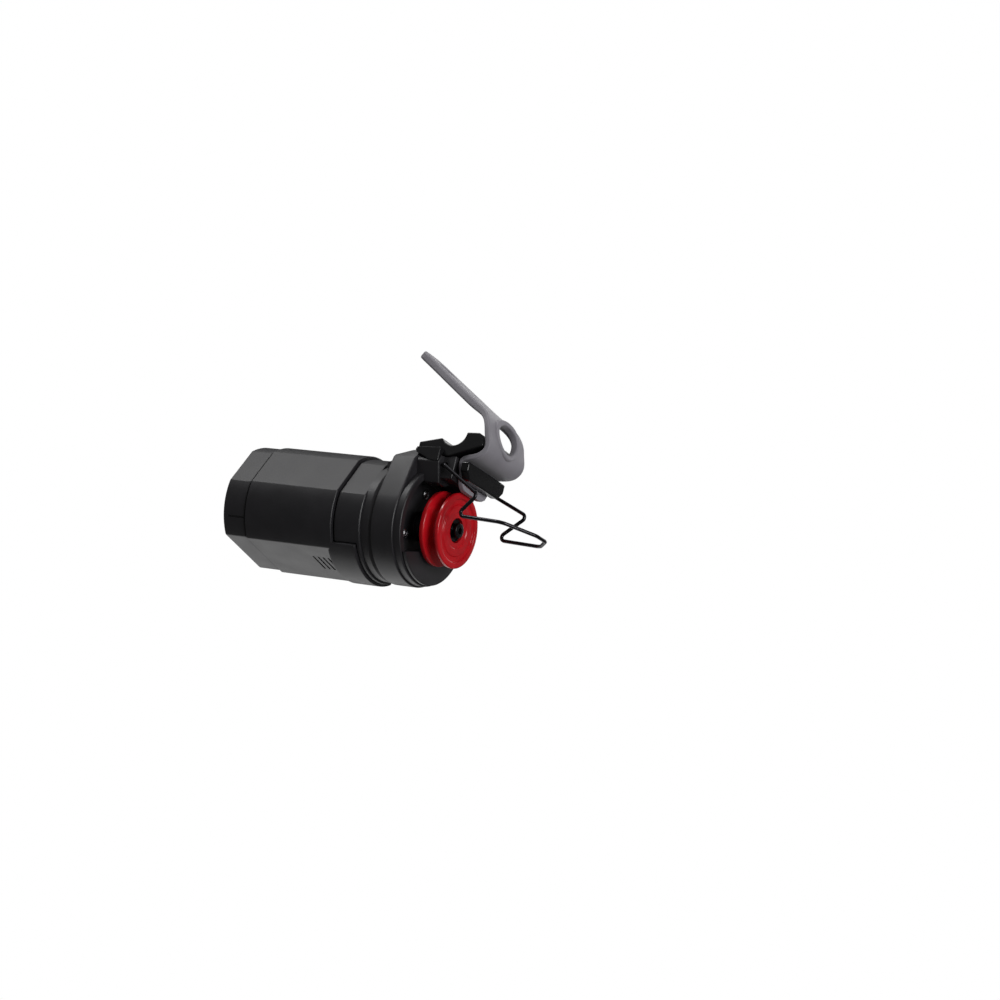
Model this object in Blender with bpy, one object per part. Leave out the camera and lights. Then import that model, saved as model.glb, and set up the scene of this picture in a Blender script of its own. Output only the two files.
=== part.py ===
"""Clip-on fishing line counter: a grooved measuring wheel on a round electronics barrel, held under
the rod by a rubber strap, with a sprung-wire bail that keeps the line on the wheel.

Frame: the origin is the rod's axis at the middle of the rod seat, +X runs along the barrel towards
the wheel, +Y along the rod towards the reel, and +Z up, away from the barrel.
"""
import math

import bmesh
import bpy
from mathutils import Matrix, Vector
from mathutils.geometry import interpolate_bezier

MM = 0.001

# Where the barrel's head lies, seen from the rod's axis
ROD_AHEAD_OF_HEAD = 6.0 * MM      # from the head's front face forward to the rod's axis
ROD_DIAMETER = 6.5 * MM           # the blank that the seat is made for

# Shared fits
GAP = 0.3 * MM                    # between pieces that seat on one another
OVERRUN = 2.0 * MM                # how far a cutter passes the face it opens
SINK = 0.4 * MM                   # how far two shapes of one moulding run into each other

# Barrel sleeve
SLEEVE_WALL = 1.3 * MM
SLEEVE_CHAMFER = 0.5 * MM
TONGUE_SETBACK = 1.0 * MM         # how far the tongue under the barrel ends behind the shoulder
TONGUE_WALL = 1.2 * MM
TONGUE_HALF_ANGLE = math.radians(41)
TONGUE_FACETS = 8
TONGUE_ROOT_INSET = math.radians(7)

# Flats on the barrel: the angle of each flat's middle, from -Y towards +Z, and its half width in angle
DISPLAY_FLAT = (math.radians(157), math.radians(34))
UPPER_GRIP_FLAT = (math.radians(31), math.radians(20.5))
LOWER_GRIP_FLAT = (math.radians(282), math.radians(35))
ALL_FLATS = (UPPER_GRIP_FLAT, DISPLAY_FLAT, LOWER_GRIP_FLAT)
ARC_FACET = math.radians(11)      # the turn of one facet on a round stretch between flats

# Battery cap
CAP_STEP = 0.5 * MM               # how far the cap lies inside the sleeve's outline
CAP_LENGTH = 7.4 * MM
CAP_CHAMFER = 0.5 * MM
CAP_FLOOR = 3.4 * MM
CAP_WALL = 2.0 * MM
CAP_SLOT_WIDTH = 2.0 * MM
CAP_SLOT_LENGTH = 14.0 * MM
CAP_SLOT_DEPTH = 1.1 * MM
CAP_MARK_WIDTH = 0.5 * MM
CAP_MARK_DEPTH = 0.4 * MM
CAP_MARK_ANGLE = math.radians(-24)

# Battery tube, with the shoulder that shows ahead of the sleeve
SHOULDER_STEP = 0.8 * MM          # how far the shoulder lies inside the sleeve's outline
SHOULDER_LENGTH = 8.2 * MM
SHOULDER_CHAMFER = 0.6 * MM
COLLAR_STEP = 0.6 * MM            # how far the collar lies inside the shoulder's outline
COLLAR_LENGTH = 3.0 * MM
COLLAR_TAPER = 1.0 * MM           # the length of the collar's front chamfer
BATTERY_RADIUS = 7.8 * MM
BATTERY_LENGTH = 27.0 * MM
BATTERY_NUB_RADIUS = 2.6 * MM
BATTERY_NUB_LENGTH = 1.0 * MM
TUBE_WALL = 1.4 * MM
TUBE_RING_LENGTH = 1.8 * MM       # the rear ring that centres the tube in the sleeve
NECK_LENGTH = 2.8 * MM
SOCKET_WALL = 2.6 * MM            # the collar's wall round the head's spigot
CONTACT_THICKNESS = 0.5 * MM
CONTACT_RADIUS = 6.0 * MM

# Contact spring in the cap
SPRING_WIRE = 0.7 * MM
SPRING_RADIUS = 4.6 * MM
SPRING_TURNS = 3
SPRING_POINTS_PER_TURN = 10

# Seals
SEAL_THICKNESS = 0.7 * MM
SEAL_WIDTH = 1.0 * MM

# Display, board and reset key behind the display flat
BOARD_END_GAP = 2.3 * MM          # between the board's front end and the shoulder
BOARD_WIDTH = 14.0 * MM
BOARD_THICKNESS = 0.6 * MM
DISPLAY_BORDER = 0.5 * MM         # how far the panel reaches past the window on each side
DISPLAY_THICKNESS = 1.4 * MM
DISPLAY_ROOM = 0.86 * MM          # between the panel and the window
WINDOW_TO_KEY = 0.8 * MM          # between the window and the key's flange
WINDOW_WIDTH = 10.0 * MM
WINDOW_PROUD = 0.2 * MM
WINDOW_FROM_REAR = 4.0 * MM       # from the sleeve's rear edge to the window
KEY_RADIUS = 2.4 * MM
KEY_PROUD = 0.9 * MM
KEY_TRAVEL = 0.5 * MM             # down to the switch on the board, less the gap
KEY_FLANGE = 0.7 * MM             # how far the flange stands out round the key
KEY_FLANGE_THICKNESS = 0.6 * MM
KEY_FROM_FRONT = 5.2 * MM         # from the sleeve's front edge back to the key
SWITCH_RADIUS = 1.6 * MM

# Head housing
HEAD_STEP = 1.0 * MM              # how far the head lies inside the sleeve's outline
HEAD_LENGTH = 8.9 * MM
RIM_STEP = 0.5 * MM               # how far the front rim lies inside the head's outline
RIM_LENGTH = 2.1 * MM
HEAD_CHAMFER = 0.4 * MM
HEAD_WALL = 2.3 * MM              # round the sensor pocket
POCKET_FLOOR = 1.7 * MM
SPIGOT_LENGTH = 3.3 * MM

# Arm between the head and the rod seat
FACET_ANGLE = math.radians(14)    # how far the arm's flank leans in, going up
ARM_RISE = 1.8 * MM               # how far the arm's top stands over the head's outline
ARM_TAPER_HEIGHT = 3.0 * MM       # how far below its top the arm starts to narrow
ARM_TAPER_WIDTH = 1.7 * MM
TROUGH_DEPTH = 1.0 * MM           # how deep the rod seat is let into the arm's top
BLOCK_STEP = 0.95 * MM            # how far the block's flank lies inside the arm's
BLOCK_HEIGHT = 8.2 * MM
BLOCK_REACH = 4.6 * MM            # ahead of the head's front face
NOSE_STEP = 0.7 * MM              # how far the nose's flank lies inside the arm's top
NOSE_HEIGHT = 6.4 * MM
NOSE_LENGTH = 3.6 * MM            # ahead of the block
HOOD_CLEARANCE = 1.55 * MM        # between the wheel's rim and the hood over it

# Front cover
COVER_THICKNESS = 1.2 * MM
COVER_BOSS_WALL = 1.4 * MM        # round the bush's flange
MOON_STEP = 0.4 * MM              # how far the half moon lies inside the front rim
MOON_THICKNESS = 0.9 * MM
MOON_CHORD_SHARE = 0.4            # the half moon's straight edge, as a share of its radius
MOON_ROLL = math.radians(-107)    # the way that edge faces, from -Y towards +Z
COVER_STEP_INSET = 1.5 * MM       # from the pocket's wall in to the step ring
COVER_STEP_HEIGHT = 0.9 * MM
COVER_STEP_WALL = 0.7 * MM
COVER_SCREW_INSET = 4.2 * MM      # from the board's edge in to the screws
COVER_SCREW_ANGLES = (math.radians(-28), math.radians(76), math.radians(180))
SCREW_STEPS = 12
SCREW_HEAD_RADIUS = 1.3 * MM
SCREW_HEAD_HEIGHT = 0.7 * MM
SCREW_SHANK_RADIUS = 0.6 * MM
SCREW_POST_DEPTH = 1.1 * MM       # how far the screws reach into the pocket floor

# Sensor board in the head
SENSOR_BOARD_INSET = 1.1 * MM     # from the pocket's wall in to the board's edge
SENSOR_BOARD_THICKNESS = 0.8 * MM
SENSOR_SIZE = 2.2 * MM
SENSOR_HEIGHT = 0.8 * MM

# Measuring wheel
WHEEL_SIDE_GAP = 0.45 * MM        # between the wheel's rim and the wire bail's arms, on each side
WHEEL_WEB = 1.0 * MM              # between the seats of its two bearings
WHEEL_TO_FACE = 2.1 * MM          # from the head's front face to the wheel's rear face
GROOVE_DEPTH = 3.15 * MM
GROOVE_FLOOR_WIDTH = 0.9 * MM
REAR_RIM_WIDTH = 1.3 * MM
FRONT_RIM_WIDTH = 1.1 * MM
RIM_ROUNDING = 0.4 * MM
FACE_RIM = 1.55 * MM              # the flat rim outside the channel in the front face
FACE_CHANNEL_WIDTH = 1.8 * MM
FACE_CHANNEL_DEPTH = 0.6 * MM
FACE_BOSS_WALL = 1.9 * MM         # round the front bearing
FACE_LAND_DEPTH = 0.2 * MM
FACE_BOSS_DEPTH = 0.5 * MM
RIM_STEPS = 2
WHEEL_STEPS = 48

# Bearings and axle
BEARING_RADIUS = 3.0 * MM
RACE_WIDTH = 0.4 * MM
SHIELD_DEPTH = 0.15 * MM
BEARING_STEPS = 24
BEARING_WIDTH = 1.6 * MM
BEARING_RECESS = 0.9 * MM         # how far the front bearing lies inside the wheel's face
WHEEL_WEB_RADIUS = 2.3 * MM       # the wheel's bore between its two bearings
AXLE_RADIUS = 1.2 * MM
AXLE_HEAD_RADIUS = 2.0 * MM
AXLE_HEAD_HEIGHT = 1.1 * MM
AXLE_SOCKET_RADIUS = 0.9 * MM
AXLE_SOCKET_DEPTH = 0.7 * MM
HEX_SIDES = 6
BUSH_RADIUS = 2.1 * MM
BUSH_FLANGE_RADIUS = 2.6 * MM
BUSH_FLANGE = 0.6 * MM
MAGNET_RADIUS = 1.4 * MM
MAGNET_THICKNESS = 1.3 * MM
MAGNET_WALL = 0.2 * MM            # between a magnet's pocket and the bearing's seat

# Rod seat: the rubber pad's ends and lips, measured from the rod's axis
PAD_REAR = 9.8 * MM               # behind the rod's axis
PAD_REAR_DROP = 3.7 * MM          # the thin rear lip's top, below the rod's axis
PAD_REAR_LIP = 2.1 * MM           # how thick the thin rear lip is
PAD_FRONT = 9.4 * MM              # ahead of the rod's axis, at the front's lower edge
PAD_FRONT_DROP = 3.2 * MM         # where the slanted underside ends, below the rod's axis
PAD_FRONT_LEAN = 0.9 * MM         # how far the front's upper edge leans back
PAD_FRONT_HEIGHT = 0.2 * MM       # the thick front lip's top, above the rod's axis
PAD_DEPTH = 6.8 * MM              # from the rod's axis down to the pad's underside
PAD_KEEL = 2.4 * MM               # half of the underside's flat stretch, behind the rod's axis
ROD_CLEARANCE = 0.6 * MM          # the soft seat's radius over the blank's
SEAT_REAR_DROP = 2.1 * MM         # where the seat's arc ends behind, below the rod's axis
PAD_LIP_CHAMFER = 0.9 * MM
SEAT_STEPS = 8

# Strap lug: the cross bar in front and its neck into the arm
LUG_THICKNESS = 2.4 * MM
LUG_SIDE_GAP = 0.35 * MM          # between the lug's ends and the wire bail's arms
LUG_DROP = 1.7 * MM               # from the arm's top down to the lug's top
LUG_HEIGHT = 4.7 * MM
LUG_CORNER = 2.2 * MM             # the slanted lower corners
LUG_BEVEL = 0.5 * MM
NECK_HALF_WIDTH = 2.8 * MM
NECK_HEIGHT = 2.4 * MM
NECK_SOCKET = 3.0 * MM

# Strap
STRAP_THICKNESS = 1.6 * MM        # from the lug up to the eyelet
STRAP_TAB_THICKNESS = 2.2 * MM
STRAP_TAIL_STEP = 0.75 * MM       # how far the tail's edges lie inside the lug's ends
STRAP_STEP = 0.65 * MM            # the same behind the lug
STRAP_BELLY_STEP = 0.25 * MM      # the same at the bend under the pad
STRAP_CREST_STEP = 3.6 * MM       # the same straight above the rod
STRAP_TAB_STEP = 5.0 * MM         # the same at the pull tab
STRAP_TAIL_DROP = 2.6 * MM        # how far the tail hangs below the lug
STRAP_CLEARANCE = 0.4 * MM        # between the flap and the pad's front
STRAP_BELLY_DROP = 2.0 * MM       # how far the strap's middle passes below the pad's front edge
STRAP_BELLY_ANGLE = math.radians(40)
STRAP_CREST = 9.9 * MM            # the strap straight above the rod's axis
STRAP_TAB_REACH = 20.3 * MM       # the pull tab's end, behind the rod's axis
STRAP_TAB_RISE = 23.0 * MM        # the pull tab's end, above the rod's axis
STRAP_CORNER = 0.4 * MM
STRAP_TAIL_ROUNDING = 3.8 * MM
STRAP_TAB_ROUNDING = 3.0 * MM
STRAP_STEPS = 6                   # sections between two knots of the centreline
STRAP_END_STEPS = 3
STRAP_EASE_SHARES = ((0.33, 0.33), (0.3, 0.42), (0.45, 0.4), (0.42, 0.45), (0.33, 0.33))
EYELET_LENGTH = 10.0 * MM         # across the strap
EYELET_WIDTH = 7.8 * MM
EYELET_TAPER_SHARE = 0.22         # how much wider than its middle the eyelet is at the top
EYELET_LIP = 1.5 * MM
EYELET_LIP_PROUD = 0.5 * MM
EYELET_RISE = 1.2 * MM            # the eyelet's middle, above the rod's axis
CATCH_HOLE_LENGTH = 6.4 * MM
CATCH_HOLE_WIDTH = 5.0 * MM
CATCH_HOLE_FROM_TIP = 8.0 * MM

# Catch on the arm's top, which the strap's small hole is pulled over
CATCH_HALF_WIDTH = 2.1 * MM
CATCH_INSET = 0.7 * MM            # from the arm's rear face to the stem
CATCH_THICKNESS = 1.8 * MM
CATCH_RISE = 3.0 * MM             # above the arm's top
CATCH_LIP = 1.6 * MM
CATCH_LIP_THICKNESS = 0.9 * MM
CATCH_BEVEL = 0.2 * MM

# Wire bail
WIRE_RADIUS = 0.5 * MM
BAIL_SIDE_GAP = 0.9 * MM          # between the wire's arms and the nose's flanks
BAIL_BLOCK_GAP = 0.4 * MM         # between the wire's arms and the block's front face
BAIL_PIVOT_DROP = 3.2 * MM        # below the arm's top
BAIL_STUB = 4.4 * MM
BAIL_CORNER_AHEAD = 18.0 * MM
BAIL_CORNER_HEIGHT = 7.5 * MM
BAIL_FOLD_AHEAD = 13.2 * MM
BAIL_FOLD_HEIGHT = 1.4 * MM
BAIL_SHOULDER_AHEAD = 27.0 * MM
BAIL_SHOULDER_HEIGHT = 0.9 * MM
BAIL_TIP_AHEAD = 33.0 * MM
BAIL_TIP_HEIGHT = 0.4 * MM
BAIL_TIP_HALF_WIDTH = 2.5 * MM
BAIL_BEND_RADIUS = 1.1 * MM
BAIL_TIP_RADIUS = 3.0 * MM
BAIL_BEND_STEPS = 4
WIRE_ROUND_STEPS = 2

ROUND_STEPS = 32
SMALL_STEPS = 16
SMOOTH_ANGLE = math.radians(35)
MERGE_DISTANCE = 0.001 * MM

# Heights above the barrel's axis under the display flat, which set the sleeve's radius
TUBE_BORE = BATTERY_RADIUS + GAP
BOARD_BOTTOM = TUBE_BORE + TUBE_WALL + GAP
BOARD_TOP = BOARD_BOTTOM + BOARD_THICKNESS
FLAT_INSIDE = BOARD_TOP + GAP + DISPLAY_THICKNESS + DISPLAY_ROOM
FLAT_OUTSIDE = FLAT_INSIDE + SLEEVE_WALL

# Radii of the barrel and the head
SLEEVE_RADIUS = FLAT_OUTSIDE / math.cos(DISPLAY_FLAT[1])
CAP_RADIUS = SLEEVE_RADIUS - CAP_STEP
NECK_RADIUS = CAP_RADIUS * math.cos(LOWER_GRIP_FLAT[1]) - CAP_WALL - GAP
SHOULDER_RADIUS = SLEEVE_RADIUS - SHOULDER_STEP
COLLAR_RADIUS = SHOULDER_RADIUS - COLLAR_STEP
SOCKET_RADIUS = COLLAR_RADIUS - SOCKET_WALL
HEAD_RADIUS = SLEEVE_RADIUS - HEAD_STEP
RIM_RADIUS = HEAD_RADIUS - RIM_STEP
POCKET_RADIUS = HEAD_RADIUS - HEAD_WALL
MOON_RADIUS = RIM_RADIUS - MOON_STEP
COVER_STEP_RADIUS = POCKET_RADIUS - COVER_STEP_INSET
COVER_BOSS_RADIUS = BUSH_FLANGE_RADIUS + COVER_BOSS_WALL
SENSOR_BOARD_RADIUS = POCKET_RADIUS - SENSOR_BOARD_INSET
COVER_SCREW_CIRCLE = SENSOR_BOARD_RADIUS - COVER_SCREW_INSET

# Places along the barrel's axis, measured from the head's front face
HEAD_REAR = -HEAD_LENGTH
TUBE_FRONT = HEAD_REAR - GAP
SHOULDER_FRONT = TUBE_FRONT - COLLAR_LENGTH
SHOULDER_REAR = SHOULDER_FRONT - SHOULDER_LENGTH
SLEEVE_FRONT = SHOULDER_REAR - GAP
TONGUE_FRONT = SHOULDER_FRONT - TONGUE_SETBACK - GAP
BATTERY_FRONT = SHOULDER_REAR - GAP - CONTACT_THICKNESS - GAP
BATTERY_REAR = BATTERY_FRONT - BATTERY_LENGTH
SLEEVE_REAR = BATTERY_REAR - GAP
CAP_FRONT = SLEEVE_REAR - GAP
CAP_REAR = CAP_FRONT - CAP_LENGTH
TUBE_RING_FRONT = CAP_FRONT + GAP + TUBE_RING_LENGTH
KEY_ALONG = SLEEVE_FRONT - KEY_FROM_FRONT
WINDOW_REAR = SLEEVE_REAR + WINDOW_FROM_REAR
WINDOW_FRONT = KEY_ALONG - KEY_RADIUS - KEY_FLANGE - WINDOW_TO_KEY
POCKET_BACK = HEAD_REAR + POCKET_FLOOR
SENSOR_BOARD_FRONT = POCKET_BACK + GAP + SENSOR_BOARD_THICKNESS
COVER_REAR = SENSOR_BOARD_FRONT + GAP + SENSOR_HEIGHT + GAP
COVER_FRONT = COVER_REAR + COVER_THICKNESS
MOON_REAR = GAP
MOON_FRONT = MOON_REAR + MOON_THICKNESS
WHEEL_REAR = WHEEL_TO_FACE
REAR_BEARING_REAR = WHEEL_REAR + GAP
WEB_REAR = REAR_BEARING_REAR + BEARING_WIDTH + GAP
WEB_FRONT = WEB_REAR + WHEEL_WEB
FRONT_BEARING_FRONT = WEB_FRONT + GAP + BEARING_WIDTH
WHEEL_FRONT = FRONT_BEARING_FRONT + BEARING_RECESS
BUSH_FRONT = REAR_BEARING_REAR - GAP
BOSS_FRONT = BUSH_FRONT - BUSH_FLANGE - GAP
NOSE_REACH = BLOCK_REACH + NOSE_LENGTH
LUG_REAR = NOSE_REACH + GAP + STRAP_THICKNESS + GAP
BAIL_PIVOT_AHEAD = BLOCK_REACH + BAIL_BLOCK_GAP + WIRE_RADIUS

# Heights above the barrel's axis, and half widths, of the head's arm
ARM_TOP = HEAD_RADIUS + ARM_RISE
ARM_SHOULDER = ARM_TOP - ARM_TAPER_HEIGHT
ARM_SHOULDER_HALF_WIDTH = (HEAD_RADIUS - ARM_SHOULDER * math.sin(FACET_ANGLE)) / math.cos(FACET_ANGLE)
BLOCK_BOTTOM = ARM_TOP - BLOCK_HEIGHT
BLOCK_HALF_WIDTH = ARM_SHOULDER_HALF_WIDTH - BLOCK_STEP
ARM_TOP_HALF_WIDTH = BLOCK_HALF_WIDTH - ARM_TAPER_WIDTH
NOSE_HALF_WIDTH = ARM_TOP_HALF_WIDTH - NOSE_STEP
LUG_TOP = ARM_TOP - LUG_DROP
LUG_BOTTOM = LUG_TOP - LUG_HEIGHT
BAIL_PIVOT_HEIGHT = ARM_TOP - BAIL_PIVOT_DROP
BAIL_HALF_WIDTH = NOSE_HALF_WIDTH + BAIL_SIDE_GAP + WIRE_RADIUS
LUG_HALF_LENGTH = BAIL_HALF_WIDTH - WIRE_RADIUS - LUG_SIDE_GAP
PAD_LENGTH = 2 * LUG_HALF_LENGTH
ROD_ABOVE_BARREL = ARM_TOP - TROUGH_DEPTH + GAP + PAD_DEPTH
SEAT_RADIUS = ROD_DIAMETER / 2 + ROD_CLEARANCE

# The wheel's steps and its magnets
WHEEL_RADIUS = BAIL_HALF_WIDTH - WIRE_RADIUS - WHEEL_SIDE_GAP
GROOVE_FLOOR_RADIUS = WHEEL_RADIUS - GROOVE_DEPTH
FACE_CHANNEL_OUTER = WHEEL_RADIUS - FACE_RIM
FACE_CHANNEL_INNER = FACE_CHANNEL_OUTER - FACE_CHANNEL_WIDTH
FACE_BOSS_RADIUS = BEARING_RADIUS + FACE_BOSS_WALL
MAGNET_CIRCLE = BEARING_RADIUS + GAP + MAGNET_WALL + GAP + MAGNET_RADIUS
MAGNET_HEIGHTS = (MAGNET_CIRCLE, -MAGNET_CIRCLE)


def clear_scene():
    """Start from an empty scene."""
    for obj in list(bpy.data.objects):
        bpy.data.objects.remove(obj, do_unlink=True)


def material(name, colour, roughness, metallic=0.0):
    """One Principled finish."""
    finish = bpy.data.materials.new(name)
    finish.use_nodes = True
    shader = finish.node_tree.nodes["Principled BSDF"]
    shader.inputs["Base Color"].default_value = (*colour, 1.0)
    shader.inputs["Roughness"].default_value = roughness
    shader.inputs["Metallic"].default_value = metallic
    finish.diffuse_color = (*colour, 1.0)
    return finish


def empty(name, place, parent=None):
    """A frame that pieces are hung on."""
    frame = bpy.data.objects.new(name, None)
    bpy.context.scene.collection.objects.link(frame)
    frame.location = place
    frame.parent = parent
    return frame


def finish_object(name, bm, finish, parent=None, place=(0, 0, 0)):
    """Turn a bmesh into a named, shaded object."""
    bmesh.ops.recalc_face_normals(bm, faces=bm.faces)
    mesh = bpy.data.meshes.new(name)
    bm.to_mesh(mesh)
    bm.free()
    mesh.shade_smooth()
    mesh.set_sharp_from_angle(angle=SMOOTH_ANGLE)
    obj = bpy.data.objects.new(name, mesh)
    bpy.context.scene.collection.objects.link(obj)
    obj.location = place
    obj.parent = parent
    if finish:
        mesh.materials.append(finish)
    return obj


def boolean(target, tool, operation, solver='EXACT'):
    """Cut one object by another, or join the two, and keep the tool as a guide."""
    step = target.modifiers.new(f"{operation.lower()}_{tool.name}", 'BOOLEAN')
    step.operation = operation
    step.object = tool
    step.solver = solver
    tool.hide_render = True
    tool.display_type = 'WIRE'


def bevel(obj, width, segments=1):
    """Break an object's sharp edges."""
    step = obj.modifiers.new("edges", 'BEVEL')
    step.width = width
    step.segments = segments
    step.limit_method = 'ANGLE'
    step.angle_limit = SMOOTH_ANGLE


def spin_profile(bm, profile, steps, closed):
    """Turn a profile of (along, radius) about the local X axis."""
    verts = [bm.verts.new((along, 0, radius)) for along, radius in profile]
    edges = [bm.edges.new(pair) for pair in zip(verts, verts[1:])]
    if closed:
        edges.append(bm.edges.new((verts[-1], verts[0])))
    bmesh.ops.spin(bm, geom=verts + edges, cent=(0, 0, 0), axis=(1, 0, 0), dvec=(0, 0, 0),
                   angle=math.tau, steps=steps, use_merge=True, use_duplicate=False)
    bmesh.ops.remove_doubles(bm, verts=bm.verts, dist=MERGE_DISTANCE)


def turned(name, profile, finish, parent=None, place=(0, 0, 0), steps=ROUND_STEPS, closed=True):
    """A turned piece: a closed profile is a ring, an open one runs from axis to axis."""
    bm = bmesh.new()
    spin_profile(bm, profile, steps, closed)
    return finish_object(name, bm, finish, parent, place)


def disc_profile(rear, front, radius):
    """A plain disc's profile, from axis to axis."""
    return [(rear, 0.0), (rear, radius), (front, radius), (front, 0.0)]


def ring_profile(rear, front, outer, inner):
    """A plain ring's closed profile."""
    return [(rear, inner), (rear, outer), (front, outer), (front, inner)]


def prism(name, outline, direction, finish, parent=None, place=(0, 0, 0)):
    """A flat outline of 3-D points, extruded along a direction."""
    bm = bmesh.new()
    face = bm.faces.new([bm.verts.new(point) for point in outline])
    moved = bmesh.ops.extrude_face_region(bm, geom=[face])["geom"]
    verts = [item for item in moved if isinstance(item, bmesh.types.BMVert)]
    bmesh.ops.translate(bm, verts=verts, vec=direction)
    return finish_object(name, bm, finish, parent, place)


def block(name, low, high, parent, finish=None):
    """A box between two corners, as the start of a cutter or a boss."""
    outline = [(low[0], low[1], low[2]), (high[0], low[1], low[2]),
               (high[0], high[1], low[2]), (low[0], high[1], low[2])]
    return prism(name, outline, (0, 0, high[2] - low[2]), finish, parent)


def loft(bm, rings, capped):
    """Skin a row of point rings with quads; a row that isn't capped closes on its first ring."""
    rows = [[bm.verts.new(point) for point in ring] for ring in rings]
    pairs = list(zip(rows, rows[1:]))
    if not capped:
        pairs.append((rows[-1], rows[0]))
    for first, second in pairs:
        count = len(first)
        for index in range(count):
            after = (index + 1) % count
            bm.faces.new((first[index], first[after], second[after], second[index]))
    if capped:
        bm.faces.new(list(reversed(rows[0])))
        bm.faces.new(rows[-1])


def around(radius, angle):
    """A point on a circle about the barrel's axis; angles run from -Y towards +Z."""
    return (-radius * math.cos(angle), radius * math.sin(angle))


def flatted_ring(along, radius, inset, flats):
    """The barrel's outline at one place: a circle with flats, drawn in evenly by an inset.

    The number of points depends on the flats alone, so that two such rings can be skinned together.
    """
    ring = []
    for index, (middle, half) in enumerate(flats):
        next_middle, next_half = flats[(index + 1) % len(flats)]
        turn = (next_middle - next_half - middle - half) % math.tau
        count = math.ceil(turn / ARC_FACET)
        start = middle + flat_corner(radius, half, inset)
        end = start + (next_middle - flat_corner(radius, next_half, inset) - start) % math.tau
        for step in range(count + 1):
            angle = start + (end - start) * step / count
            ring.append((along, *around(radius - inset, angle)))
    return ring


def flat_corner(radius, half, inset):
    """Half the angle that a flat takes up once its outline is drawn in by an inset."""
    return math.acos((radius * math.cos(half) - inset) / (radius - inset))


def flatted_piece(name, stations, flats, capped, finish, parent):
    """A solid, or a shell or ring if it isn't capped, skinned over (along, radius, inset)."""
    bm = bmesh.new()
    loft(bm, [flatted_ring(*station, flats) for station in stations], capped)
    return finish_object(name, bm, finish, parent)


def display_frame(barrel):
    """A frame on the barrel's axis whose +Z is the display flat's outward normal."""
    frame = empty("display_frame", (0, 0, 0), barrel)
    across, up = around(1.0, DISPLAY_FLAT[0])
    frame.rotation_euler = (math.atan2(-across, up), 0, 0)
    return frame


def barrel_sleeve(barrel, screen, black):
    """The outer shell: three flats, a window, a key hole and the tongue under the barrel."""
    sleeve = flatted_piece("barrel_sleeve", [
        (SLEEVE_REAR, SLEEVE_RADIUS, SLEEVE_CHAMFER),
        (SLEEVE_REAR + SLEEVE_CHAMFER, SLEEVE_RADIUS, 0.0),
        (SLEEVE_FRONT - SLEEVE_CHAMFER, SLEEVE_RADIUS, 0.0),
        (SLEEVE_FRONT, SLEEVE_RADIUS, SLEEVE_CHAMFER),
        (SLEEVE_FRONT, SLEEVE_RADIUS, SLEEVE_WALL),
        (SLEEVE_REAR, SLEEVE_RADIUS, SLEEVE_WALL)], ALL_FLATS, False, black, barrel)
    tongue = tongue_sector("sleeve_tongue", SLEEVE_RADIUS - TONGUE_WALL, SLEEVE_RADIUS,
                           SLEEVE_FRONT - SLEEVE_WALL, TONGUE_FRONT, 0.0, barrel)
    bevel(tongue, SLEEVE_CHAMFER)
    boolean(sleeve, tongue, 'UNION')
    inside_flat = SLEEVE_RADIUS * math.cos(LOWER_GRIP_FLAT[1]) - SLEEVE_WALL
    step_face = tongue_sector("tongue_root", inside_flat - SINK, SLEEVE_RADIUS - SLEEVE_CHAMFER,
                              SLEEVE_FRONT - SLEEVE_WALL - SINK, SLEEVE_FRONT, -TONGUE_ROOT_INSET, barrel)
    boolean(sleeve, step_face, 'UNION')

    window = block("window_opening",
                   (WINDOW_REAR - GAP, -WINDOW_WIDTH / 2 - GAP, FLAT_INSIDE - OVERRUN),
                   (WINDOW_FRONT + GAP, WINDOW_WIDTH / 2 + GAP, FLAT_OUTSIDE + OVERRUN), screen)
    boolean(sleeve, window, 'DIFFERENCE')
    key_hole = upright_disc("key_opening", [(FLAT_INSIDE - OVERRUN, KEY_RADIUS + GAP),
                                            (FLAT_OUTSIDE + OVERRUN, KEY_RADIUS + GAP)], None, screen,
                            (KEY_ALONG, 0, 0))
    boolean(sleeve, key_hole, 'DIFFERENCE')
    return sleeve


def tongue_sector(name, inner, outer, rear, front, spread, barrel):
    """A sector of a ring under the lower grip flat, used for the tongue and for its seat."""
    middle = LOWER_GRIP_FLAT[0]
    half = TONGUE_HALF_ANGLE + spread
    angles = [middle - half + 2 * half * step / TONGUE_FACETS for step in range(TONGUE_FACETS + 1)]
    outline = [(rear, *around(outer, angle)) for angle in angles]
    outline += [(rear, *around(inner, angle)) for angle in reversed(angles)]
    return prism(name, outline, (front - rear, 0, 0), None, barrel)


def upright_disc(name, rims, finish, parent, place, steps=SMALL_STEPS):
    """A turned solid whose axis is its frame's Z, over rims of (height, radius)."""
    bm = bmesh.new()
    profile = [(rims[0][0], 0.0), *rims, (rims[-1][0], 0.0)]
    spin_profile(bm, profile, steps, closed=False)
    quarter = Matrix.Rotation(-math.pi / 2, 3, 'Y')
    bmesh.ops.rotate(bm, verts=bm.verts, cent=(0, 0, 0), matrix=quarter)
    return finish_object(name, bm, finish, parent, place)


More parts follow.
